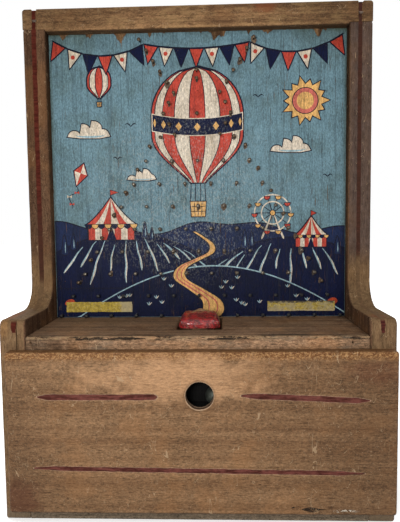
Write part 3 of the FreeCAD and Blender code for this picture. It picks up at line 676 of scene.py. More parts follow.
# Middle, half width, top and foot of each hill, far ones first.
HILLS = ((-74, 118, 246, 196), (92, 116, 240, 190), (14, 150, 212, 150))
# Place and size of each tree.
TREES = ((-136, 226, 10), (-127, 231, 8), (-54, 242, 8), (-47, 240, 6), (138, 224, 9), (46, 231, 9),
         (53, 233, 7))


def shares(count):
    """Even steps from 0 to 1."""
    return [number / count for number in range(count + 1)]


def turned(across, up, far, turn):
    """The place at a distance from another, in the direction of an angle."""
    return (across + far * math.cos(turn), up + far * math.sin(turn))


def mound(across, hill):
    """Height of a round-topped hill at a place across it."""
    middle, reach, top, foot = hill
    share = max(-1.0, min(1.0, (across - middle) / reach))
    return foot + (top - foot) * math.cos(share * math.pi / 2) ** 0.9


def fir(film, across, foot, size, layer):
    """Narrow pointed tree."""
    half = size * 0.3
    film.outlined(smooth([(across - half, foot), (across - half * 0.75, foot + size * 0.7),
                          (across, foot + size * 1.9), (across + half * 0.75, foot + size * 0.7),
                          (across + half, foot)], 4), DUSK, layer, 0.9)
    lit = across + half * 0.2
    film.bar((lit, foot + 1), (lit, foot + size * 1.2), 0.8, FOAM, layer + 2, (0.3, 0.6))


def furrows(film, hill, low, layer, seed):
    """Pale ploughed rows that run down a hill from its crown and spread towards its foot."""
    middle, reach = hill[:2]
    chance = random.Random(seed)
    rows = 15
    for number in range(rows):
        share = (number + 0.5) / rows * 2 - 1
        crest = middle + share * reach * 0.62
        top = mound(crest, hill) - 4
        spots = []
        for fall in shares(14):
            across = crest + share * reach * 0.55 * fall ** 0.8
            spots.append((across + 0.5 * math.sin(fall * 12 + number), top - fall * 46))
        start = chance.choice((0, 1, 2))
        stop = chance.choice((9, 11, 14, 15))
        run = [spot for spot in spots[start:stop] if spot[1] > low + 8 and abs(spot[0]) < 139
               and abs(spot[0] - road_middle(spot[1])) > 15]
        if len(run) > 4:
            film.stroke(run, chance.uniform(1.7, 2.6), FOAM, layer, (0.75, 0.2), 0.35, number)
            lit = [(across + 0.5, up) for across, up in run[2:]]
            film.stroke(lit, 1.0, CREAM, layer + 1, (0.7, 0.3), 0.3, number + 9)


def tufts(film, hill, low, layer):
    """Small pale grass tufts scattered on the nearest hill."""
    chance = random.Random(31)
    for _ in range(40):
        across = chance.uniform(-132, 132)
        up = chance.uniform(low + 7, mound(across, hill) - 5)
        if up < low + 5 or abs(across - road_middle(up)) < 19:
            continue
        for lean in (-2.4, 0.2, 2.6):
            blade = straight((across, up), (across + lean, up + 3.8 - abs(lean) * 0.3), 1.0)
            film.stroke(blade, 1.1, FOAM if lean < 1 else CREAM, layer, (0.1, 0.7))


def hills(film, low, left, right):
    """A far ridge and three hills in front of it, ploughed or grassy, with a few narrow trees."""
    runs = [left + (right - left) * share for share in shares(72)]
    foot = [(right, low), (left, low)]
    ridge = []
    for across in runs:
        rise = 5.0 * math.sin(across / 27.0 + 0.6) + 2.5 * math.sin(across / 11.0 + 2.0)
        ridge.append((across, RIDGE + rise))
    film.plate([(across, up + 1.2) for across, up in ridge] + foot, NAVY, 0)
    film.plate(ridge + foot, DUSK, 1)
    for number, hill in enumerate(HILLS):
        nearest = hill is HILLS[-1]
        crown = [(across, max(mound(across, hill), low)) for across in runs]
        layer = 2 + number * 4
        rim = [(across, up + 1.3 if up > low else low) for across, up in crown]
        film.plate(rim + foot, FOAM if nearest else NAVY, layer)
        film.plate(crown + foot, DEEP if nearest else NIGHT, layer + 1)
        if nearest:
            tufts(film, hill, low, layer + 2)
        else:
            furrows(film, hill, low, layer + 2, 5 + number)
    for across, up, size in TREES:
        fir(film, across, up, size, 12)


def road_middle(height):
    """Middle of the road at a height."""
    for far, near in zip(ROAD, ROAD[1:]):
        if near[1] <= height <= far[1]:
            share = (far[1] - height) / (far[1] - near[1])
            return far[0] + (near[0] - far[0]) * share
    return ROAD[0][0]


def road(film):
    """A sandy road that winds down between the hills and widens on its way."""
    middle = smooth([spot[:2] for spot in ROAD], 5, closed=False)
    halves = [half for half, _ in smooth([(spot[2], 0) for spot in ROAD], 5, closed=False)]

    def beside(share):
        return [(across + half * share, up) for (across, up), half in zip(middle, halves)]

    film.outlined(beside(-1) + beside(1)[::-1], SAND, 14, 1.1)
    for share, start in ((-0.4, 14), (0.38, 20)):
        film.stroke(beside(share)[start:], 1.3, ROSE, 16, (0.6, 0.2), 0.5, start)


def envelope_half(share):
    """Half width of a balloon at a share of its height, from its mouth up, as a share of its widest."""
    if share > 0.58:
        return math.sqrt(max(0.0, 1 - ((share - 0.58) / 0.42) ** 2))
    if share > 0.42:
        return 1.0 - 0.02 * (0.58 - share)
    return 0.16 + 0.8368 * math.sin(math.pi / 2 * share / 0.42) ** 1.15


def waistband(film, across, mouth, height, half, layer):
    """Dark band with lozenges round the widest part of a balloon."""
    def around(turn, share, girth):
        return (across + half * girth * turn, mouth + height * share - 5.0 * (1 - turn * turn))

    top, foot = [[around(-1 + number / 12, share, 0.985) for number in range(25)] for share in (0.60, 0.46)]
    film.outlined(top + foot[::-1], NIGHT, layer, 0.9, CREAM)
    for number in range(-3, 4):
        turn = math.sin(number / 3.6 * math.pi / 2)
        x, z = around(turn, 0.53, 0.97)
        wide = 3.3 * math.sqrt(max(0.08, 1 - turn * turn * 0.85))
        film.plate([(x - wide, z), (x, z - 4.2), (x + wide, z), (x, z + 4.2)], SAND, layer + 2)


def balloon(film, across, mouth, height, half, gores, layer, waist=True):
    """Striped balloon with its ropes and basket."""
    def meridian(turn):
        return [(across + half * envelope_half(share) * turn, mouth + height * share) for share in shares(30)]

    film.outlined(meridian(-1) + meridian(1)[::-1], CREAM, layer, 1.3)
    seams = [meridian(math.sin(math.pi * (number / gores - 0.5))) for number in range(gores + 1)]
    for west, east in list(zip(seams, seams[1:]))[::2]:
        film.plate(west + east[::-1], RED, layer + 2)
    for seam in seams[1:-1]:
        film.stroke(seam, 0.8, NAVY, layer + 3, (0.02, 0.02))
    if waist:
        waistband(film, across, mouth, height, half, layer + 4)
    top, deep, wide = mouth - height * 0.17, height * 0.13, half * 0.17
    for side in (-1, -0.35, 0.35, 1):
        film.bar((across + half * 0.15 * side, mouth + 1), (across + wide * side, top), 0.8, NAVY, layer + 1)
    film.outlined([(across - wide, top), (across + wide, top), (across + wide * 0.86, top - deep),
                   (across - wide * 0.86, top - deep)], SAND, layer + 3, 1.0)
    for row in (1, 2):
        up = top - deep * row / 3
        film.bar((across - wide, up), (across + wide, up), 0.6, NAVY, layer + 5)
    for column in (-0.5, 0, 0.5):
        foot = (across + wide * column * 0.86, top - deep)
        film.bar((across + wide * column, top), foot, 0.6, NAVY, layer + 5)


def bunting(film, swags, layer):
    """Cord with hanging pennants, in sagging swags between fixed points."""
    flag = 0
    for start, end, sag in swags:
        cord = []
        for share in shares(24):
            cord.append((start[0] + (end[0] - start[0]) * share,
                         start[1] + (end[1] - start[1]) * share - 4 * sag * share * (1 - share)))
        count = max(2, round((Vector(end) - Vector(start)).length / 15.5))
        for number in range(count):
            place = (number + 0.5) / count * 24
            near, far = [Vector(spot) for spot in cord[int(place):int(place) + 2]]
            spot = near.lerp(far, place - int(place))
            along = (far - near).normalized()
            down = Vector((along.y, -along.x))
            kind = flag % 3
            tip = spot + down * 17 + along * 0.6 * (kind - 1)
            corners = [tuple(spot - along * 6.4), tuple(spot + along * 6.4), tuple(tip)]
            sides = []
            for corner, follow in zip(corners, corners[1:] + corners[:1]):
                sides += straight(corner, follow, 3)[:-1]
            film.outlined(sides, (RED, CREAM, NIGHT)[kind], layer, 1.1)
            if kind == 1:
                film.plate(arc(*tuple(spot + down * 6), 2.1, count=14), RED, layer + 2)
            flag += 1
        film.stroke(cord, 1.4, NAVY, layer + 3)


def cloud(film, across, up, size, layer):
    """Flat-bottomed cloud with a scalloped top."""
    lobes = ((-1.25, 0.05, 0.5), (-0.55, 0.45, 0.68), (0.3, 0.6, 0.78), (1.1, 0.12, 0.55))
    outline = [(across - 1.8 * size, up)]
    for shift, lift, girth in lobes:
        bumps = arc(across + shift * size, up + lift * size, girth * size, girth * size * 0.85, 170, 20, 9)
        outline += [spot for spot in bumps if spot[0] > outline[-1][0] + 0.2]
    outline.append((across + 1.75 * size, up))
    outline += [(across + 0.9 * size, up - 0.16 * size), (across - 0.8 * size, up - 0.13 * size)]
    film.outlined(outline, CREAM, layer, 1.0)
    shadow = arc(across + 0.1 * size, up + 0.12 * size, 1.2 * size, 0.16 * size, 180, 360, 12)
    film.stroke(shadow, 0.16 * size, FOAM, layer + 2, (0.4, 0.4))


def sun(film, across, up, size, layer):
    """Disc with pointed rays of two lengths."""
    points = 28
    outline = []
    for number in range(points):
        far = (1.75, 1.16, 1.5, 1.16)[number % 4] * size
        outline.append(turned(across, up, far, 2 * math.pi * number / points))
    film.outlined(outline, SAND, layer, 1.0)
    film.outlined(arc(across, up, size * 0.9), ROSE, layer + 2, 0.8)
    film.plate(arc(across, up, size * 0.62), SAND, layer + 4)


def kite(film, across, up, size, turn, layer):
    """Diamond kite with a cross spar and a tail of bows."""
    def spot(right, rise):
        return (across + size * (right * math.cos(turn) - rise * math.sin(turn)),
                up + size * (right * math.sin(turn) + rise * math.cos(turn)))

    film.outlined([spot(0, 1.15), spot(0.72, 0.1), spot(0, -1.3), spot(-0.72, 0.1)], RED, layer, 1.0)
    film.plate([spot(0, 1.1), spot(0.68, 0.1), spot(0, 0.1)], CREAM, layer + 2)
    film.plate([spot(0, 0.1), spot(-0.68, 0.1), spot(0, -1.25)], CREAM, layer + 2)
    tail = [spot(0.35 * math.sin(number * 0.75), -1.3 - number * 0.22) for number in range(12)]
    film.stroke(tail, 0.9, NAVY, layer + 1, (0.01, 0.2))
    for number, colour in ((3, RED), (6, CREAM), (9, RED)):
        x, z = tail[number]
        film.plate([(x - 2.4, z + 1.5), (x, z), (x + 2.4, z + 1.5), (x + 2.4, z - 1.5), (x, z - 0.3),
                    (x - 2.4, z - 1.5)], colour, layer + 2)


def tent(film, across, ground, wide, wall, roof, layer):
    """Striped fair tent with a scalloped eave and a pennant."""
    half = wide / 2
    eave = ground + wall
    over = half * 1.14

    def cloth(left, right):
        return [(left, ground), (right, ground), (right, eave), (left, eave)]

    def slope(turn):
        return [(across + over * turn * (1 - share), eave + roof * share ** 1.35) for share in shares(10)]

    film.outlined(cloth(across - half, across + half), CREAM, layer, 1.1)
    stripes = 7
    for number in range(0, stripes, 2):
        left = across - half + wide * number / stripes
        film.plate(cloth(left, left + wide / stripes), RED, layer + 2)
    lintel = ground + wall * 0.85
    door = [(across - half * 0.22, ground), (across - half * 0.02, lintel),
            (across + half * 0.02, lintel), (across + half * 0.22, ground)]
    film.plate(door, NIGHT, layer + 3)
    film.outlined(slope(-1) + slope(1)[-2::-1], CREAM, layer + 4, 1.1)
    gores = 6
    for number in range(0, gores, 2):
        west, east = slope(number / gores * 2 - 1), slope((number + 1) / gores * 2 - 1)
        film.plate(west + east[-2::-1], RED, layer + 6)
    drops = 8
    for number in range(drops):
        middle = across - over + 2 * over * (number + 0.5) / drops
        scallop = arc(middle, eave + 0.3, over / drops, over / drops * 1.2, 180, 360, 9)
        film.outlined(scallop, SAND if number % 2 else NIGHT, layer + 7, 0.6)
    top = eave + roof + wall * 0.5
    film.bar((across, eave + roof - 0.5), (across, top), 0.9, NAVY, layer + 7)
    film.outlined([(across, top), (across + wide * 0.17, top - 2.2), (across, top - 4.6)], RED, layer + 8,
                  0.6)


def wheel(film, across, up, size, layer):
    """Fairground wheel with its cars and its two legs."""
    for side in (-1, 1):
        film.bar((across, up), (across + side * size * 0.62, up - size * 1.45), 1.8, CREAM, layer)
    spokes = 10
    rims = [turned(across, up, size, 2 * math.pi * number / spokes) for number in range(spokes)]
    for number, (x, z) in enumerate(rims):
        film.bar((across, up), (x, z), 0.8, NAVY, layer + 1)
        car = arc(x, z - 1.0, 2.6, 2.9, 180, 360, 8)
        film.outlined(car, RED if number % 2 else SAND, layer + 3, 0.7)
    for girth in (1.0, 0.62):
        around = arc(across, up, size * girth, count=40)
        film.stroke(around + around[:2], 1.3, CREAM, layer + 2, (0.001, 0.001))
    film.outlined(arc(across, up, size * 0.13, count=14), SAND, layer + 4, 0.7)


def birds(film, spots, layer):
    for across, up, size in spots:
        for side in (-size, size):
            wing = [(across + side * share, up + size * 0.5 * math.sin(share * 2.6)) for share in shares(6)]
            film.stroke(wing, 1.1, NAVY, layer, (0.05, 0.6))


def fair_picture():
    """Fairground in the hills under a bunted sky, painted flat with dark outlines."""
    low, high = box_mm("playfield_board")
    film = Film("playfield_picture", low.y)
    hills(film, low.z + 0.5, low.x + 0.6, high.x - 0.6)
    wheel(film, 74, 265, 18, 10)
    road(film)
    tent(film, -88, 240, 46, 15, 27, 12)
    tent(film, 112, 231, 30, 11, 19, 12)
    for across, up, size in ((-108, 343, 12), (92, 326, 11), (-56, 300, 8)):
        cloud(film, across, up, size, 1)
    sun(film, 106, 374, 13.5, 1)
    kite(film, -118, 306, 9.5, -0.35, 3)
    birds(film, ((-66, 352, 6), (-80, 320, 4.6), (60, 378, 5.4), (128, 300, 4.8)), 1)
    balloon(film, 0, 296, 112, 45, 9, 8)
    balloon(film, -97, 381, 29, 11.5, 5, 3, waist=False)
    left, right = (-52, 431), (52, 431)
    bunting(film, (((-143, 437), left, 13), (left, right, 5), (right, (143, 437), 13)), 14)
    return film.done()


PLAYFIELD_PITH = (60, 30, 0)


def paint_wear(finish):
    """Where the paint has gone: specks, cracks along the grain and the rubbed top edge; and its dirt and
    painted shade.
    """
    _, high = box_mm("playfield_board")
    across, _, up = finish.axes()
    off_middle = across * across
    top_gap = high.z - up
    cracks = finish.patches(0.625, 0.68, 0.9, 3, 0.7, (1, 1, 0.035))
    cracked = finish.patches(0.42, 0.60, 34, 3, stretch=(1, 1, 0.5))
    spots = finish.patches(0.655, 0.69, 2.3, 4, 0.74)
    busy = finish.patches(0.40, 0.62, 40, 2, shift=(19, 0, 8))
    busy = busy | finish.ramp(off_middle, 62 ** 2, 8 ** 2) * 0.9
    torn = finish.patches(0.50, 0.66, 24, 3, 0.6, (1, 0, 0), (17, 0, 0))
    ragged = finish.cloud(4.5, 4, 0.7, (1, 1, 0.35))
    top = finish.ramp(top_gap - ragged * (1.2 + torn * 16.0), 0.0, -0.8)
    # Darker towards the top corners: dirt, and painted shade where the lamp's light falls off.
    corner = finish.ramp(top_gap, 44, 0) * finish.ramp(off_middle, 50 ** 2, 140 ** 2) * 0.5
    grime = finish.patches(0.42, 0.72, 26, 5, 0.7, shift=(2, 40, 2))
    # Painted shade in the gaps between the picture and the frame at both sides.
    sides = finish.ramp(off_middle, (high.x - 5) ** 2, (high.x - 0.5) ** 2) * 0.6
    # Dirt patches and painted shade: the top corners, a thin painted shadow under the rail, and the side
    # gaps.
    dirt_and_shade = (corner + grime * 0.42 + finish.ramp(top_gap, 5, 0) * 0.25) | sides
    return cracks * cracked | spots * busy | top, dirt_and_shade


def painted_finish(name, colour=None):
    """Matt paint over wood, in a colour or else the film's own; the wood shows where it has worn off."""
    finish = Finish(name)
    timber = Timber(finish, "Z", PLAYFIELD_PITH, 6)
    wood = timber.colour(tone(128, 98, 68), tone(88, 64, 44), tone(46, 33, 25))
    gone, dirt_and_shade = paint_wear(finish)
    brushed = finish.cloud(1.5, 4, 0.7, (1, 1, 0.06))
    joints = finish.patches(0.60, 0.64, 2.0, 2, 0.5, (1, 1, 0.02), (7, 0, 0))
    blotch = finish.cloud(18, 5, 0.66, shift=(3, 9, 27))
    fine = finish.cloud(1.2, 4, 0.75, (1, 1, 0.5))
    cracks = finish.cloud(0.9, 3, 0.8, (1, 1, 0.12), (4, 6, 2))
    paint = finish.shade(colour or finish.attribute("paint", output="Color"),
                         brushed * 0.6 + blotch * 0.7 + fine * 2.2 + cracks - 1.24)
    paint = finish.mix(joints * 0.22, paint, tone(44, 46, 52))
    greyed = finish.patches(0.54, 0.70, 8, 4, 0.7, (1, 1, 0.4), (5, 5, 5))
    paint = finish.mix(greyed * 0.3, paint, tone(222, 206, 184), "MULTIPLY")
    # Darkens by the dirt and by the painted shade from paint_wear.
    paint = finish.mix(dirt_and_shade, paint, tone(186, 170, 140), "MULTIPLY")
    crazed = finish.cloud(1.6, 4, 0.8, (1, 1, 0.6))
    # Whitish crackle in the middle of the picture: varnish bloom, and a painted glare of the lamp.
    bloom_and_glare = finish.smudge((-16, 0, 286), (116, THROUGH, 108), 0.9, 24) * finish.ramp(crazed, 0.51, 0.63)
    shown = finish.lay(paint, (gone, wood), (bloom_and_glare * 0.36, tone(188, 190, 182)))
    height = timber.streaks * 0.4 - gone + brushed * 0.4 + fine * 0.7 + crazed * 1.3 - joints * 0.7
    return finish.done(shown, 0.30 + brushed * 0.16 + gone * 0.4, height, 0.26, specular=0.08)


# ---------------------------------------------------------------- pins, nails and screws

def loose_parts(node):
    """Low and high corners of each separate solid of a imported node, in metres."""
    shape = packed_shape(node)
    shape.verts.ensure_lookup_table()
    seen = set()
    found = []
    for vert in shape.verts:
        if vert.index in seen:
            continue
        seen.add(vert.index)
        group, queue = [], [vert]
        while queue:
            here = queue.pop()
            group.append(here.co.copy())
            for edge in here.link_edges:
                other = edge.other_vert(here)
                if other.index not in seen:
                    seen.add(other.index)
                    queue.append(other)
        low = Vector(min(spot[axis] for spot in group) for axis in range(3))
        high = Vector(max(spot[axis] for spot in group) for axis in range(3))
        found.append((low, high))
    shape.free()
    return sorted(found, key=lambda pair: (round(pair[0].z, 5), round(pair[0].x, 5), round(pair[0].y, 5)))


def lathe(profile, facets=14):
    """Closed turned shape about Z from (radius, height) pairs in millimetres, from its foot up."""
    shape = bmesh.new()
    rings = []
    for radius, height in profile:
        ring = []
        for number in range(facets if radius else 1):
            turn = 2 * math.pi * number / facets
            ring.append(shape.verts.new(Vector((*turned(0, 0, radius, turn), height)) * MM))
        rings.append(ring)
    for lower, upper in zip(rings, rings[1:]):
        for number in range(facets):
            follow = (number + 1) % facets
            corners = [lower[number % len(lower)], lower[follow % len(lower)],
                       upper[follow % len(upper)], upper[number % len(upper)]]
            shape.faces.new(list(dict.fromkeys(corners))).smooth = True
    bmesh.ops.recalc_face_normals(shape, faces=shape.faces)
    return shape


def nail_shape(head, thickness, shank, length, dome):
    """Nail with its head's top at the origin, driven along -Z."""
    return lathe([(0, -length), (shank * 0.55, -length + shank * 0.6), (shank, -length + shank * 1.8),
                  (shank, -thickness), (head * 0.92, -thickness), (head, -thickness * 0.72),
                  (head * 0.93, -dome * 0.8), (head * 0.6, -dome * 0.25), (0, 0)])


def screw_blank(length):
    """Slotted screw with its head's top at the origin."""
    head, thickness, shank, slot = 2.75, 1.4, 1.4, 0.8
    shape = lathe([(0, -length), (shank * 0.5, -length + shank), (shank, -length + shank * 3),
                   (shank, -thickness), (head, -thickness), (head * 0.97, -thickness * 0.45), (head * 0.8, 0),
                   (0, 0)], facets=20)
    knife = block((-head * 1.2, -slot / 2, -thickness * 0.45), (head * 1.2, slot / 2, 1))
    return carve(from_shape("screw_blank", shape), [knife])


def fastener_tree():
    """Sets a fastener at each point, along the point's own direction, leaning and turned a little."""
    tree = bpy.data.node_groups.new("set_fasteners", "GeometryNodeTree")
    sockets = (("Points", "Geometry"), ("Fastener", "Object"), ("Lean", "Float"), ("Least Size", "Float"),
               ("Seed", "Int"), ("Finish", "Material"))
    for name, kind in sockets:
        tree.interface.new_socket(name, in_out="INPUT", socket_type=f"NodeSocket{kind}")
    tree.interface.new_socket("Fasteners", in_out="OUTPUT", socket_type="NodeSocketGeometry")
    given = tree.nodes.new("NodeGroupInput").outputs

    def add(kind, settings=None, **links):
        made = tree.nodes.new(kind)
        for name, setting in (settings or {}).items():
            setattr(made, name, setting)
        for name, source in links.items():
            socket = made.inputs[name.replace("_", " ")]
            if isinstance(source, bpy.types.NodeSocket):
                tree.links.new(source, socket)
            else:
                socket.default_value = source
        return made.outputs

    out = add("GeometryNodeInputNamedAttribute", {"data_type": "FLOAT_VECTOR"}, Name="out")
    aim = add("FunctionNodeAlignRotationToVector", {"axis": "Z"}, Vector=out[0])
    lean = add("ShaderNodeCombineXYZ", X=given["Lean"], Y=given["Lean"], Z=math.pi)
    away = add("ShaderNodeVectorMath", {"operation": "SCALE"}, Vector=lean[0], Scale=-1.0)
    turn = add("FunctionNodeRandomValue", {"data_type": "FLOAT_VECTOR"}, Min=away[0], Max=lean[0],
               Seed=given["Seed"])
    spin = add("FunctionNodeEulerToRotation", Euler=turn[0])
    aimed = add("FunctionNodeRotateRotation", {"rotation_space": "LOCAL"}, Rotation=aim[0], Rotate_By=spin[0])
    size = add("FunctionNodeRandomValue", {"data_type": "FLOAT"}, Seed=given["Seed"])
    least, largest = size[0].node.inputs[2:4]
    tree.links.new(given["Least Size"], least)
    largest.default_value = 1.0
    shape = add("GeometryNodeObjectInfo", Object=given["Fastener"])
    placed = add("GeometryNodeInstanceOnPoints", Points=given["Points"], Instance=shape["Geometry"],
                 Rotation=aimed[0], Scale=size[1])
    real = add("GeometryNodeRealizeInstances", Geometry=placed[0])
    dressed = add("GeometryNodeSetMaterial", Geometry=real[0], Material=given["Finish"])
    tree.links.new(dressed[0], tree.nodes.new("NodeGroupOutput").inputs[0])
    return tree


def heads_of(node, axis, sign, sink=0.0):
    """Place and direction of each head of a node's fasteners, which look along an axis.

    A sign of 0 means away from the middle of the object.
    """
    heads = []
    for low, high in loose_parts(node):
        place = (low + high) / 2
        way = sign or (1 if place[axis] > 0 else -1)
        out = Vector((0, 0, 0))
        out[axis] = way
        place[axis] = (high if way > 0 else low)[axis]
        heads.append((place - out * sink * MM, out))
    return heads


def set_fasteners(name, tree, heads, blank, material, lean, least, seed):
    """A plain mesh of fasteners at (place, direction) heads."""
    points = bpy.data.meshes.new(f"{name}_points")
    points.from_pydata([place for place, _ in heads], [], [])
    directions = points.attributes.new("out", "FLOAT_VECTOR", "POINT")
    directions.data.foreach_set("vector", [part for _, out in heads for part in out])
    piece = link(name, points)
    maker = piece.modifiers.new("set_fasteners", "NODES")
    maker.node_group = tree
    values = {"Fastener": blank, "Lean": lean, "Least Size": least, "Seed": seed, "Finish": material}
    for socket in tree.interface.items_tree:
        if socket.in_out == "INPUT" and socket.name in values:
            maker[socket.identifier] = values[socket.name]
    settle(piece)
    left_over = piece.data.attributes.get("out")
    if left_over:
        piece.data.attributes.remove(left_over)
    return piece


# ---------------------------------------------------------------- metals, paper and enamel

def metal_finish(name, colour, tarnish, rough, rust, grain=1.2):
    """Dull metal with tarnish in patches, rust specks and fine scratches."""
    finish = Finish(name)
    tarnished = finish.patches(0.42, 0.62, grain * 2.4, 4, 0.65)
    rusted = finish.patches(0.60, 0.68, grain, 3, 0.7)
    fine = finish.cloud(0.3, 3, 0.7, (1, 1, 0.1))
    shown = finish.lay(colour, (tarnished * 0.6, tarnish), (rusted * rust, tone(96, 52, 30)))
    roughness = rough + tarnished * 0.2 + rusted * rust * 0.4 + fine * 0.08
    return finish.done(shown, roughness, fine * 0.5 - rusted * 0.5, 0.03, metallic=1 - rusted * rust * 0.8)


def enamel_finish():
    """Glossy red enamel with painted pink glints, chipped to the wood along the key's ridges and dulled by
    fingers.
    """
    finish = Finish("chipped_red_enamel")
    low, high = box_mm("flipper_key")
    timber = Timber(finish, "X", (10, 40, 90), 3.4)
    wood = timber.colour(tone(190, 150, 104), tone(136, 92, 58), tone(66, 42, 30))
    across, back, _ = finish.axes()
    ridge = finish.ramp(back, (low.y + high.y) / 2, high.y)
    ragged = finish.cloud(3.4, 4, 0.7)
    end = finish.ramp(across, high.x - 7, high.x - 1)
    chips = finish.ramp(ragged + ridge * 0.24 + end * 0.12 + finish.attribute("edge") * 0.03, 0.62, 0.68)
    shown = finish.lay(
        tone(90, 12, 14),
        (finish.patches(0.40, 0.62, 4, 3, 0.7), tone(166, 26, 28)),
        # Pale pink specks: painted glints on the enamel.
        (finish.patches(0.56, 0.62, 1.4, 3, 0.75, (0.6, 1, 1), (9, 2, 4)) * 0.38, tone(228, 120, 100)),
        (chips * 0.9, wood))
    ripple = finish.cloud(1.6, 3, 0.7)
    return finish.done(shown, 0.24 + chips * 0.4 + ragged * 0.12, ripple * 1.4 - chips * 0.6, 0.7,
                       coat=0.55 - chips * 0.4, coat_roughness=0.08, specular=0.3)


def stripe_finish(name, thin, maroon, bright, faded=None, rubbed=None):
    """Brushed maroon paint, worn through; it is faded and rubbed between two heights each, if given."""
    finish = Finish(name)
    timber = Timber(finish, "X", (0, 20, 60), 5)
    wood = timber.colour(tone(138, 108, 80), tone(112, 84, 60), tone(68, 48, 36))
    ragged = finish.cloud(2.2, 4, 0.75, (0.6, 1, 0.6))
    wide = finish.cloud(24, 2, shift=(2, 7, 1))
    gone = finish.ramp(ragged + wide * 0.25 + thin, 0.84, 0.92)
    strokes = finish.cloud(0.8, 3, 0.6, (0.08, 1, 0.4))
    paint = finish.shade(finish.mix(finish.ramp(strokes, 0.34, 0.66), maroon, bright), 0.35 + ragged * 1.2)
    _, _, up = finish.axes()
    if faded:
        low, high = faded
        brown = finish.ramp(up, low - 6, low + 6) * finish.ramp(up + wide * 80, high + 60, high)
        paint = finish.mix(brown * 0.7, paint, tone(64, 46, 36))
    if rubbed:
        low, high = rubbed
        lost = finish.ramp(up, low - 1.5, low + 0.5) * finish.ramp(up + wide * 30, high + 24, high + 6)
        paint = finish.mix(lost * 0.85, paint, finish.shade(tone(112, 88, 63), ragged * 1.6 + 0.2))
    shown = finish.mix(gone * 0.85, paint, wood)
    return finish.done(shown, 0.66 + gone * 0.2, strokes * 0.5 - gone * 0.6, 0.08, specular=0.01)


def label_finish():
    """Yellowed paper, stained, torn thin in places and browned at its edges."""
    finish = Finish("worn_yellow_paper")
    across, _, up = finish.axes()
    low, high = box_mm("paper_label_left")
    fibre = finish.cloud(0.8, 4, 0.7, (0.3, 1, 1))
    ragged = finish.cloud(3.0, 4, 0.75)
    right = finish.ramp(across, 0, 60)
    inner = finish.ramp(across + ragged * 8, high.x - 10, high.x - 6) * finish.ramp(across, 0, -1)
    torn = right * finish.patches(0.44, 0.54, 3.4, 5, 0.78, (0.7, 1, 1), (5, 1, 8))
    hem = finish.ramp(up + ragged * 3, low.z + 3.6, low.z + 2.0) * right
    pale = finish.patches(0.56, 0.62, 1.9, 4, 0.75, shift=(15, 1, 8))
    brown = finish.patches(0.56, 0.64, 1.1, 4, 0.78, shift=(1, 1, 3))
    bare = right * finish.ramp(up + ragged * 9, high.z + 2.4, high.z + 3.6)
    colour = finish.lay(
        tone(190, 164, 68),
        (finish.patches(0.42, 0.60, 2.4, 5, 0.78), tone(142, 120, 50)),
        (inner * 0.75, tone(172, 159, 130)),
        (torn * 0.7, tone(158, 146, 118)),
        (hem * 0.6, tone(176, 158, 136)),
        (pale * 0.7, tone(200, 182, 128)),
        (brown * (0.5 + right * 0.3), tone(88, 72, 38)),
        (bare * 0.85, tone(48, 44, 48)))
    return finish.done(colour, 0.78 + fibre * 0.1, fibre * 0.6 - brown * 0.4, 0.08, specular=0.25)


def ball_finish(name, colour, patina):
    """Worn steel ball: fine pits and a film of age."""
    finish = Finish(name)
    film = finish.cloud(5.0, 4, 0.65)
    pits = finish.patches(0.60, 0.70, 0.9, 3, 0.7)
    shown = finish.lay(colour, (finish.ramp(film, 0.35, 0.65), patina), (pits * 0.6, tone(60, 42, 32)))
    return finish.done(shown, 0.46 + film * 0.2 + pits * 0.3, film * 0.3 - pits * 0.7, 0.05,
                       metallic=0.7 - pits * 0.5)


# ---------------------------------------------------------------- the case

SIDE_WOOD = (tone(102, 76, 57), tone(78, 57, 43), tone(46, 32, 25))
RAIL_WOOD = (tone(160, 122, 84), tone(126, 94, 64), tone(68, 46, 32))
LEVER_WOOD = (tone(96, 72, 50), tone(70, 52, 36), tone(40, 29, 21))
DOWEL_WOOD = (tone(190, 154, 108), tone(158, 120, 80), tone(108, 78, 52))
INNER_WOOD = (tone(158, 124, 86), tone(122, 92, 64), tone(78, 56, 40))
# Near-black wood for the tray seen through the mouth: painted shade that makes the hole look dark.
SHADE_BLACK_WOOD = (tone(13, 11, 9), tone(9, 8, 7), tone(5, 4, 4))
GREYED_WOOD = (tone(134, 118, 98), tone(106, 91, 74), tone(62, 50, 40))
BARE_WOOD = (tone(176, 142, 100), tone(140, 108, 74), tone(96, 70, 48))
SHELF_WOOD = (tone(134, 105, 80), tone(107, 83, 62), tone(66, 49, 37))
PANEL_WOOD = (tone(144, 112, 81), tone(120, 90, 63), tone(82, 54, 35))
PANEL_PITH = (0, 120, 30)
PANEL_WEAR = 0.15
# Middles of the mouth and of the gouge on the panel, the gouge's outline, and the shelf's nail holes.
MOUTH = (3, 112.2)
GOUGE_MIDDLE = (97, 14.8)
GOUGE = ((86, 15.0), (89.5, 16.4), (94, 17.4), (98, 17.0), (103, 15.9), (109.5, 15.2), (103, 14.0),
         (98.5, 12.2), (94, 12.4), (90, 13.6))
NAIL_HOLES = ((-141.0, 155.6), (131.5, 155.0))
# Node, grain direction, pith and tones of each board that hardly shows.
INNER_BOARDS = (
    ("bottom_board", "X", (0, 60, 80), GREYED_WOOD), ("base_back_panel", "X", (0, 90, -50), INNER_WOOD),
    ("playfield_cleat_left", "Z", (90, 20, 0), INNER_WOOD),
    ("playfield_cleat_right", "Z", (-100, 40, 0), INNER_WOOD),
    # The tray's boards are painted near black as shade.
    ("tray_floor", "X", (0, 20, 40), SHADE_BLACK_WOOD), ("tray_back", "X", (0, 50, 20), SHADE_BLACK_WOOD),
    ("tray_end_left", "Y", (30, 0, 20), SHADE_BLACK_WOOD), ("tray_end_right", "Y", (-30, 0, 20), SHADE_BLACK_WOOD),
    ("bearing_block_left", "Y", (10, 0, 30), INNER_WOOD),
    ("bearing_block_right", "Y", (-10, 0, 30), INNER_WOOD), ("spring_block", "X", (0, 30, 30), INNER_WOOD))


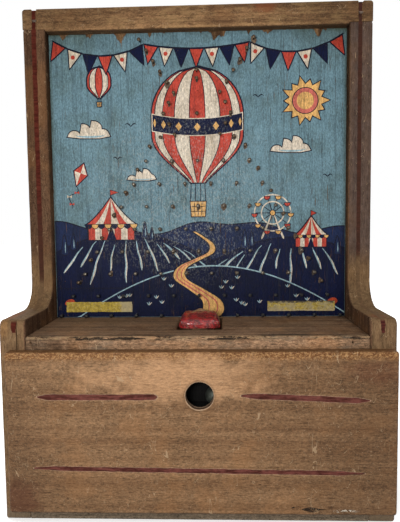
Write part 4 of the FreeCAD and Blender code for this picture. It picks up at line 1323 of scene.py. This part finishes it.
def weathered(finish, colour):
    """The inner faces near the rail painted dark as shade, the paler shoulders and cheeks, and their grey
    foot.
    """
    low, high = box_mm("side_panel_left")
    panel_low, _ = box_mm("front_panel")
    across, back, up = finish.axes()
    off_middle = across * across
    inside = (high.x - 0.4) ** 2, (high.x - 1.4) ** 2
    # Painted shade on the inner faces of the upper boards, near the rail.
    inner = finish.ramp(off_middle, *inside[::-1]) * finish.ramp(up, 280, 380)
    colour = finish.mix(inner * 0.6, colour, tone(34, 25, 19))
    front = finish.ramp(back, low.y + 5, low.y + 1)
    colour = finish.shade(colour, 1 + front * 0.5)
    faces = finish.ramp(off_middle, *inside)
    faces = faces * finish.ramp(off_middle, (low.x + 0.3) ** 2, (low.x + 1.3) ** 2)
    uneven = finish.cloud(1.5, 4, 0.8, (1, 1, 0.22), (3, 3, 3)) * 2.6
    uneven = uneven + finish.cloud(5.0, 5, 0.75, (1, 1, 0.6), (8, 3, 3)) * 2.0 - 1.3
    upper_right = finish.ramp(across, 140, 150) * finish.ramp(up, 206, 236)
    corner = finish.smudge((-166, low.y, 170), (9, 60, 14), 1.0, 6)
    reddish = []
    for place, from_front, reach in ((-162, 26, (7, 30, 3)), (155, 12, (10, 14, 3))):
        mask = finish.smudge((place, low.y + from_front, 176), reach, 0.8, 5)
        reddish.append((mask * 0.45, tone(126, 64, 42)))
    return finish.lay(
        colour,
        (faces * finish.ramp(up, 236, 206) * 0.55, finish.shade(tone(132, 106, 75), uneven)),
        (faces * upper_right * 0.55, finish.shade(tone(95, 82, 76), uneven)),
        (corner * 0.26, finish.shade(tone(160, 112, 60), uneven)),
        *reddish,
        (front * finish.ramp(up, panel_low.z + 1, panel_low.z - 1) * 0.7, tone(118, 104, 86)))


def side_boards():
    """Both side boards, with knife cuts and steps in their cheeks."""
    low, inner = box_mm("side_panel_left")
    right_low, _ = box_mm("side_panel_right")
    front = low.y
    boards = (
        ("left", (190, 80, 0), 2, (((-152.6, front - 1, 149.9), (inner.x + 1, front + 0.7, 176)),
                                   ((-153.3, front - 1, 130), (-152.7, front + 3, 177)))),
        ("right", (-120, 60, 0), 4, (((right_low.x - 1, front + 13.0, 161.0),
                                      (right_low.x + 1.8, front + 14.8, 177)),)))
    for side, pith, seed, cuts in boards:
        node = f"side_panel_{side}"
        finish = board_finish(f"{side}_side_wood", "Z", pith, SIDE_WOOD, soot=0.30, ring=5.5, figure=0.5,
                              specular=0.008, extra=weathered)
        piece = rounded(f"{side}_side_board", node, 0.9, dent=0.35, seed=seed)
        carve(piece, [block(*corners) for corners in cuts])
        clothe(piece, finish, "case_wood", node)


def rail():
    low, high = box_mm("top_rail")

    def aged(finish, colour):
        """Golden and dark ragged patches, the reddish stain near the right end, painted shade on the ends and
        the underside.
        """
        across, _, up = finish.axes()
        golden = finish.patches(0.48, 0.62, 7, 5, 0.72, (0.3, 1, 1), (4, 4, 0))
        dark = finish.patches(0.55, 0.63, 6, 5, 0.75, (0.4, 1, 1), (0, 8, 5), warp=1.0)
        stain = finish.smudge((66, low.y, high.z - 3), (15, 30, 9), 1.4, 7)
        colour = finish.lay(
            colour,
            (golden * 0.4, tone(170, 136, 92)),
            (dark * 0.62, tone(84, 58, 38)),
            (stain * 0.6, tone(124, 66, 38)))
        # Painted shade: the rail darker towards both ends.
        colour = finish.shade(colour, 0.98 - finish.ramp(across * across, 40 ** 2, 130 ** 2) * 0.30)
        # Painted shade: the rail's lowest millimetre, underside included, darkened nearly black.
        return finish.mix(finish.ramp(up, low.z + 1.0, low.z + 0.2) * 0.72, colour, tone(46, 31, 21))

    finish = board_finish("rail_wood", "X", (0, 30, -400), RAIL_WOOD, soot=0.3, figure=0.45, ring=6.0,
                          extra=aged)
    clothe(rounded("rail", "top_rail", 0.9, dent=0.4, seed=7), finish, "case_wood", "top_rail")


def shelf():
    low, _ = box_mm("shelf_board")
    _, panel_high = box_mm("front_panel")

    def aged(finish, colour):
        """The paler front face, the black chips along its top corner, the dark line above the panel, and
        painted light and shade.
        """
        _, back, up = finish.axes()
        face = finish.ramp(back, low.y + 2.2, low.y + 0.6)
        joint = finish.ramp(up, panel_high.z + 0.9, panel_high.z + 0.2)
        colour = finish.mix(joint * 0.6, finish.shade(colour, 1 + face * 0.72), tone(66, 46, 30))
        coarse = finish.cloud(1.6, 4, 0.8, (0.24, 1, 1), (8, 5, 3))
        colour = finish.mix(face * 0.55 + 0.45, colour, finish.shade(colour, coarse * 3.4 - 0.7))
        # Painted shade: the front darker towards both ends, where the lamp's light falls off.
        for across, reach, depth in ((-150, 74, 0.58), (150, 58, 0.2)):
            end_shade = finish.smudge((across, low.y, 150), (reach, 6, 40), 0.8, 9)
            colour = finish.shade(colour, 1 - end_shade * depth)
        chips = finish.cloud(5.0, 5, 0.78, (0.2, 1, 1), (2, 0, 0))
        lip = finish.ramp(up + chips * 5, 159.6, 161.6) * finish.ramp(back, low.y + 4.5, low.y + 2.5)
        fibres = finish.patches(0.44, 0.56, 2.4, 4, 0.8, (0.35, 1, 1), (1, 5, 3))
        greyed = finish.patches(0.5, 0.64, 12, 4, 0.7, (0.4, 1, 1))
        colour = finish.lay(
            colour,
            (lip * fibres * 0.6, tone(176, 146, 108)),
            (lip * finish.ramp(chips, 0.52, 0.56) * 0.95, tone(26, 19, 15)),
            (greyed * face * 0.4, tone(112, 102, 88)))
        # Painted light: a lighter patch on the top just right of the key.
        colour = finish.shade(colour, 1 + finish.smudge((48, low.y + 26, 161), (36, 26, 9), 0.8, 9) * 0.3)
        for across, reach, depth in ((80, 36, 0.8), (-50, 40, 0.4), (118, 18, 0.4)):
            smear = finish.smudge((across, low.y + 3, 160.5), (reach, 9, 9), 1.2, 6)
            colour = finish.mix(smear * (1 - face) * depth, colour, tone(32, 24, 19))
        return colour

    finish = board_finish("shelf_wood", "X", (0, 150, -40), SHELF_WOOD, worn=tone(128, 98, 72), soot=0.45,
                          extra=aged)
    piece = rounded("shelf", "shelf_board", 1.5, dent=1.0, pitch=4.0, seed=11)
    drills = []
    for across, up in NAIL_HOLES:
        shape = lathe([(0, -6.0), (0.9, -5.0), (1.1, 0.0), (1.3, 2.0), (0, 2.0)], facets=10)
        shape.transform(Matrix.Translation(Vector((across, low.y, up)) * MM)
                        @ Matrix.Rotation(math.radians(90), 4, "X"))
        drills.append(from_shape("cutter", shape))
    carve(piece, drills)
    clothe(piece, finish, "shelf_wood", "shelf_board")


def panel():
    low, high = box_mm("front_panel")
    mouth_across, mouth_up = MOUTH

    def handled(finish, colour):
        """The amber top edge, the rubbed middle with painted sheen, stains, painted shade, the mouth's rim,
        the darker foot.
        """
        def patch(across, up, wide, tall, *rest):
            """Ragged patch on the panel's face."""
            return finish.smudge((across, 0, up), (wide, THROUGH, tall), *rest)

        _, back, up = finish.axes()
        depth = back - low.y
        ragged = finish.cloud(4, 6, 0.8, (0.5, 1, 1), (6, 6, 6))
        # Painted shade: the panel darker towards its left and right ends, where the lamp's light falls off.
        dull = patch(196, 70, 160, 150, 0.5, 30) * 0.31 | patch(-196, 40, 110, 130, 0.5, 30) * 0.30
        edge = finish.ramp(up - ragged * 12, high.z - 15, high.z - 10)
        grit = finish.cloud(1.5, 3, 0.85, (0.6, 1, 1), (6, 1, 6))
        streaky = finish.cloud(1.1, 4, 0.85, (0.3, 1, 1), (2, 1, 6))
        golden = finish.shade(tone(194, 150, 110), streaky * 2.4 - 0.2)
        gouged = patch(*GOUGE_MIDDLE, 24, 12, 0.2) * finish.ramp(back, low.y + 0.3, low.y + 0.6)
        flecks = finish.patches(0.53, 0.58, 1.7, 3, 0.8, (0.6, 1, 1), (5, 5, 5))
        bore = finish.length(finish.place((1, 0, 1), (-mouth_across, 0, -mouth_up)))
        inside = finish.ramp(bore, 12.6, 12.2)
        pale = finish.patches(0.60, 0.70, 1.8, 4, 0.8, shift=(13, 2, 6))
        return finish.lay(
            colour,
            (dull, tone(40, 20, 14)),
            (edge * 0.6, tone(118, 74, 38)),
            (edge * finish.ramp(grit, 0.50, 0.58) * 0.55, tone(204, 160, 108)),
            (edge * finish.ramp(grit, 0.46, 0.38) * 0.6, tone(88, 54, 30)),
            # The rubbed middle painted golden and lighter: rubbed wood, and a painted sheen of the lamp.
            (patch(-16, 128, 94, 26, 1.6, 16) * 0.62, golden),
            (patch(150, 132, 34, 14, 1.6, 12) * 0.34, tone(96, 52, 36)),
            (patch(-152, 22, 24, 24, 1.5, 10) * 0.6, tone(82, 46, 32)),
            (gouged * 0.95, tone(40, 31, 25)),
            (patch(82, 16.2, 7, 3, 0.4, 3) * flecks, tone(40, 29, 22)),
            (patch(124, 13.8, 13, 2, 0.4, 3) * flecks, tone(214, 204, 186)),
            (finish.ramp(bore, 15.0, 12.8) * 0.35, tone(104, 76, 54)),
            (finish.ramp(bore + ragged, 13.2, 12.6) * 0.8, tone(196, 166, 136)),
            # Inside the bore: a dark band, then a pale band, then black painted shade deep inside.
            (inside * finish.ramp(depth, 1.2, 1.8), tone(78, 58, 44)),
            (inside * finish.ramp(depth, 4.2, 4.8), tone(158, 132, 108)),
            (inside * finish.ramp(depth, 6.2, 7.2), tone(9, 7, 6)),
            # Darker towards the foot and along the top edge.
            (finish.ramp(up, low.z + 2.4, low.z + 0.6) * 0.8, tone(62, 50, 40)),
            (finish.ramp(up, high.z - 0.9, high.z - 0.3) * 0.7, tone(88, 58, 34)),
            (pale * 0.34, tone(204, 178, 146)))

    finish = board_finish("panel_wood", "X", PANEL_PITH, PANEL_WOOD, worn=tone(150, 112, 78), soot=0.12,
                          gloss=0.52, ring=9.0, figure=0.16, extra=handled)
    piece = rounded("panel", "front_panel", 0.9, dent=0.5, pitch=8.0, seed=5)
    gouge = bmesh.new()
    middle = Vector(GOUGE_MIDDLE)
    loops = []
    for back, shrink in ((low.y - 1, 1.0), (low.y + 0.9, 0.8)):
        spots = [middle + (Vector(spot) - middle) * shrink for spot in smooth(GOUGE, 4)]
        loops.append([gouge.verts.new(Vector((spot.x, back, spot.y)) * MM) for spot in spots])
    skin(gouge, loops)
    carve(piece, [from_shape("cutter", gouge)])
    face = (low.y + PANEL_WEAR) * MM
    for vert in piece.data.vertices:
        vert.co.y = max(vert.co.y, face)
    clothe(piece, finish, "panel_wood", "front_panel")


def panel_stripes():
    """Three brushed stripes on the front panel, with the pale rim that a mask has left."""
    low, _ = box_mm("front_panel")
    strokes = (((-133.6, 111.3), (-32.4, 111.3), 4.9, (0.12, 0.03)),
               ((37.6, 112.6), (143.4, 108.4), 4.6, (0.14, 0.12)),
               ((-138.4, 49.8), (139.6, 46.4), 3.8, (0.10, 0.10)))
    paint = Film("panel_stripes", low.y + PANEL_WEAR)
    halo = Film("panel_stripe_rims", low.y + PANEL_WEAR)
    for seed, (start, stop, width, ends) in enumerate(strokes, 1):
        paint.stroke(straight(start, stop, 2.5), width, CREAM, 1, ends, 0.5, seed)
        longer = straight((start[0] - 1, start[1]), (stop[0] + 1, stop[1]), 2.5)
        halo.stroke(longer, width + 0.7, CREAM, 0, ends, 0.7, seed)
    finish = stripe_finish("panel_stripe_paint", 0.02, tone(72, 38, 32), tone(112, 66, 58))
    clothe(paint.done(), finish, "panel_wood")
    rim = Finish("pale_mask_rim")
    timber = Timber(rim, "X", PANEL_PITH, 7.5)
    colour = timber.colour(tone(158, 126, 96), tone(134, 104, 78), tone(92, 66, 48))
    finish = rim.done(colour, 0.55 + timber.streaks * 0.1, timber.relief(), 0.12)
    clothe(halo.done(), finish, "panel_wood")


def band(name, path, left, right, seed, drift=0.0):
    """Painted band along a path of (back, up, normal) on a board's edge, tapered and drifting at its end."""
    shape = bmesh.new()
    rows = []
    total = len(path) - 1
    sunk, proud = -0.25, 0.05
    for number, (back, up, out) in enumerate(path):
        fill = min(1.0, (total - number) / 6)
        narrow = (1 - fill) * (right - left) * 0.16
        waver = (0.95 - 0.6 * fill) * noise.noise(Vector((number * 0.55, seed, 0)))
        waver += drift * max(0.0, number / total - 0.8) / 0.2
        west, east = left + narrow + waver, right - narrow + waver
        row = []
        for across, height in ((west, sunk), (west, proud), (east, proud), (east, sunk)):
            row.append(shape.verts.new((Vector((across, back, up)) + out * height) * MM))
        rows.append(row)
    skin(shape, rows)
    return from_shape(name, shape)


def edge_path(front, upper, top, foot):
    """Path down the front edge of a side board, round its fillet and over its shoulder."""
    shoulder, fillet, corner = 175.0, 25.0, 6.5
    path = [(upper, up, AHEAD) for _, up in straight((0, top), (0, shoulder + fillet), 2.5)]
    for number in range(1, 10):
        turn = math.radians(90 * number / 10)
        out = Vector((0, -math.cos(turn), math.sin(turn)))
        path.append((upper - fillet - fillet * out.y, shoulder + fillet - fillet * out.z, out))
    path += [(back, shoulder, ABOVE) for back, _ in straight((upper - fillet, 0), (front + corner, 0), 2.5)]
    for number in range(1, 8):
        turn = math.radians(90 * number / 8)
        out = Vector((0, -math.sin(turn), math.cos(turn)))
        path.append((front + corner + corner * out.y, shoulder - corner + corner * out.z, out))
    return path + [(front, up, AHEAD) for _, up in straight((0, shoulder - corner), (0, foot), 1.0)]


def edge_stripes():
    """Maroon stripes down both side boards and through the rail's grooves."""
    left_paint = stripe_finish("left_stripe_paint", 0.0, tone(70, 31, 24), tone(92, 43, 33), (178, 270),
                               (174, 200))
    right_paint = stripe_finish("right_stripe_paint", 0.06, tone(66, 33, 29), tone(96, 50, 44), (178, 480),
                                (174, 226))
    front = box_mm("side_panel_left")[0].y
    low, high = box_mm("top_rail")
    groove = 1.0
    for side, finish, left, right, foot, drift in (("left", left_paint, -159.5, -155.0, 164.5, 2.2),
                                                   ("right", right_paint, 154.2, 157.9, 163.0, 0.0)):
        path = edge_path(front, low.y, low.z + 2, foot)
        clothe(band(f"{side}_edge_stripe", path, left, right, foot, drift), finish, "case_wood")
        floor = low.y + groove
        path = [(back, high.z - groove, ABOVE) for back, _ in straight((high.y - 1.2, 0), (floor, 0))]
        path += [(floor, up, AHEAD) for _, up in straight((0, high.z - groove), (0, low.z + 0.1))]
        clothe(band(f"{side}_rail_stripe", path, left + 0.1, right - 0.1, foot + 9), finish, "case_wood")


def playfield():
    """The playfield's board, painted in front and bare behind, and its picture."""
    board = rounded("playfield", "playfield_board", 0.5, dent=0.1, pitch=12.0, seed=2)
    clothe(board, painted_finish("sky_paint", SKY), "playfield_paint", "playfield_board")
    board.data.materials.append(raw_wood_finish("playfield_back_wood", "Z", PLAYFIELD_PITH, BARE_WOOD))
    low, _ = box_mm("playfield_board")
    for face in board.data.polygons:
        if face.center.y > (low.y + 1.0) * MM:
            face.material_index = 1
    clothe(fair_picture(), painted_finish("picture_paint"), "playfield_paint")


def paint_chips():
    """Bare spots round the pins, where the balls and the nailing have knocked the paint off."""
    face, _ = box_mm("playfield_board")
    film = Film("pin_chips", face.y)
    chance = random.Random(9)
    corners = 14
    spared, large = 0.22, 0.12
    for node in ("funnel_pins", "throat_pins", "fence_pins", "field_pins"):
        for low, high in loose_parts(node):
            if chance.random() < spared:
                continue
            middle = (low + high) / 2 / MM
            size = chance.uniform(1.5, 2.7) * (1.5 if chance.random() < large else 1.0)
            start = chance.uniform(0, 9)
            outline = []
            for number in range(corners):
                x, z = turned(0, 0, 1, 2 * math.pi * number / corners)
                far = size * (0.85 + 0.5 * noise.noise(Vector((x, z, start)) * 1.4))
                outline.append((middle.x + far * x * 0.85, middle.z - 0.5 + far * z * 1.15))
            film.plate(outline, CREAM, 24)
    finish = Finish("chipped_to_wood")
    timber = Timber(finish, "Z", PLAYFIELD_PITH, 6)
    colour = timber.colour(tone(122, 98, 74), tone(76, 59, 44), tone(36, 29, 25))
    colour = finish.mix(finish.patches(0.45, 0.6, 2.2, 3, 0.7) * 0.75, colour, tone(42, 36, 32))
    finish = finish.done(colour, 0.75 + timber.streaks * 0.1, timber.relief(), 0.2)
    clothe(film.done(), finish, "playfield_paint")


def labels():
    """Paper strips with torn ends, and the reddish remains of what they were stuck over."""
    finish = label_finish()
    chance = random.Random(4)
    for side, outer, torn in (("left", 4, 0.5), ("right", -3, 0.75)):
        node = f"paper_label_{side}"
        low, high = box_mm(node)
        middle = Vector((low.x + high.x, low.z + high.z)) / 2
        corners = [(low.x, low.z), (high.x, low.z), (high.x, high.z), (low.x, high.z)]
        outline = []
        for start, stop in zip(corners, corners[1:] + corners[:1]):
            for spot in straight(start, stop, 1.0)[:-1]:
                inward = (middle - Vector(spot)).normalized()
                outline.append(tuple(Vector(spot) + inward * chance.uniform(0.0, torn)))
        film = Film(f"paper_strip_{side}", high.y)
        film.plate(outline, CREAM, 26)
        clothe(film.done(), finish, "label_paper", node)
        patch = Film(f"label_remains_{side}", high.y)
        x, z = (low.x if outer > 0 else high.x) + outer, high.z
        spots = [(x - 5, z - 2), (x - 2, z + 2.0), (x + 3, z + 2.6), (x + 5, z - 1), (x, z - 4)]
        patch.plate(grown(smooth(spots, 4), 0.2), tone(178, 72, 44), 25)
        clothe(patch.done(), painted_finish(f"label_remains_paint_{side}"), "playfield_paint")


def inner_boards():
    """Boards and blocks that only show from behind, below or through the openings."""
    for seed, (node, along, pith, tones) in enumerate(INNER_BOARDS, 20):
        finish = raw_wood_finish(f"{node}_wood", along, pith, tones)
        piece = rounded(f"{node}_sawn", node, 0.5, dent=0.15, pitch=14.0, seed=seed, segments=2)
        clothe(piece, finish, "inner_wood", node)


# ---------------------------------------------------------------- the flipper and the balls

def flipper():
    """The lever with its stop dowel, and the finger key with its rounded ends and worn top."""
    handled = board_finish("handled_hardwood", "Y", (20, 0, 60), LEVER_WOOD, soot=0.3, gloss=0.5, ring=3.5)
    lever = rounded("lever", "flipper_lever", 0.5, dent=0.1, pitch=6.0, seed=31, segments=2)
    clothe(lever, handled, "lever_wood", "flipper_lever", body="flipper")
    turned_wood = board_finish("dowel_wood", "X", (0, 3, 9), DOWEL_WOOD, gloss=0.55, ring=2.5)
    dowel = rounded("dowel", "stop_dowel", 0.5, dent=0.05, pitch=6.0, seed=33, segments=2)
    clothe(dowel, turned_wood, "lever_wood", "stop_dowel", body="flipper")
    key = rounded("key", "flipper_key", 5.2, dent=0.15, pitch=2.0, seed=35, segments=7)
    low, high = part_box("flipper_key")
    middle = (low + high) / 2
    size = high - low
    curve, rise = 8 * MM, 2.2 * MM
    for vert in key.data.vertices:
        over = max(0.0, abs(vert.co.x - middle.x) - (size.x / 2 - curve)) / curve
        share = math.sqrt(1 - 0.75 * min(over, 1.0) ** 2)
        vert.co.y = middle.y + (vert.co.y - middle.y) * share
        slope = (vert.co.y - low.y) / size.y * (vert.co.z - low.z) / size.z
        vert.co.z = low.z + (vert.co.z - low.z) * (0.25 + 0.75 * share) + rise * slope
    clothe(key, enamel_finish(), "key_paint", "flipper_key", body="flipper")


def round_ball(node, body, material):
    """Smooth ball in the place of the faceted one."""
    low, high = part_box(node)
    shape = bmesh.new()
    bmesh.ops.create_icosphere(shape, subdivisions=5, radius=(high.z - low.z) / 2)
    bmesh.ops.translate(shape, verts=shape.verts, vec=(low + high) / 2)
    for face in shape.faces:
        face.smooth = True
    clothe(from_shape(f"{body}_round", shape), material, f"{body}_steel", node, body=body)


def spring():
    """Leaf spring between its block and its tip."""
    piece = rounded("spring_strip", "leaf_spring", 0.25, dent=0.0, pitch=3.0, seed=40, segments=2)
    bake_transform(piece)
    wear(piece, metal_finish("blued_spring", tone(96, 100, 112), tone(54, 56, 66), 0.34, 0.4), "spring_steel",
         "leaf_spring")


def fittings():
    """Pins of the playfield, nails, brads and screws."""
    rusty = metal_finish("rusty_pin_steel", tone(80, 68, 55), tone(40, 31, 24), 0.36, 0.8, 0.7)
    bright = metal_finish("bright_pin_steel", tone(90, 84, 75), tone(46, 40, 34), 0.30, 0.7, 0.6)
    dull = metal_finish("dull_pin_steel", tone(58, 58, 58), tone(36, 34, 34), 0.55, 0.5, 0.6)
    nails = metal_finish("rusty_nail_steel", tone(120, 106, 94), tone(70, 56, 46), 0.5, 0.7)
    screws = metal_finish("old_screw_steel", tone(150, 144, 134), tone(92, 82, 70), 0.42, 0.5)
    axle = metal_finish("drawn_axle_steel", tone(176, 174, 168), tone(120, 116, 108), 0.28, 0.2)

    pin = nail_shape(head=1.85, thickness=0.95, shank=0.9, length=15.6, dome=0.6)
    nail = nail_shape(head=2.45, thickness=1.1, shank=1.2, length=37.5, dome=0.3)
    pin, nail = from_shape("pin_blank", pin), from_shape("side_nail_blank", nail)
    screw, long_screw = screw_blank(23.5), screw_blank(31.5)
    across, back, up = range(3)
    upright, loose = (0.0, 0.97), (0.05, 0.94)
    rows = (("funnel_pins", rusty, 1), ("throat_pins", rusty, 2), ("fence_pins", rusty, 3),
            ("field_pins", bright, 4), ("pocket_pins", dull, 5))
    rows = [(*row, pin, (back, -1, 0.08), loose, "pin_steel", "cabinet") for row in rows]
    rows += [(node, nails, seed, nail, (across, 0), (0.0, 0.96), "nail_steel", "cabinet")
             for node, seed in (("shelf_nails", 11), ("bottom_nails", 12))]
    rows += [(node, screws, seed, blank, way, upright, "screw_steel", body)
             for node, seed, blank, way, body in (("back_screws", 21, screw, (back, 1), "cabinet"),
                                                  ("bearing_screws", 31, screw, (up, -1), "cabinet"),
                                                  ("spring_screws", 32, screw, (up, -1), "cabinet"),
                                                  ("key_screws", 33, long_screw, (up, -1), "flipper"))]
    tree = fastener_tree()
    for node, steel, seed, blank, way, (lean, least), slot, body in rows:
        piece = set_fasteners(f"round_{node}", tree, heads_of(node, *way), blank, steel, lean, least, seed)
        clothe(piece, steel, slot, node, body=body)
    for blank in (pin, nail, screw, long_screw):
        bpy.data.objects.remove(blank)

    repainted = {node: nails for node in ("rail_nails", "panel_brads", "playfield_brads", "cleat_brads",
                                          "tray_brads")}
    repainted["pivot_axle"] = axle
    for node, steel in repainted.items():
        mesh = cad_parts[node].data
        mesh.materials.clear()
        mesh.materials.append(steel)


# ---------------------------------------------------------------- all of it

make_camera()
light_the_room()
make_floor()
bpy.context.scene.view_settings.view_transform = "Standard"

side_boards()
rail()
shelf()
panel()
panel_stripes()
edge_stripes()
playfield()
paint_chips()
labels()
inner_boards()
flipper()
round_ball("ball_in_play", "play_ball", ball_finish("browned_ball", tone(178, 146, 112), tone(120, 88, 62)))
round_ball("ball_in_tray", "tray_ball", ball_finish("grey_ball", tone(80, 84, 76), tone(54, 57, 50)))
spring()
fittings()
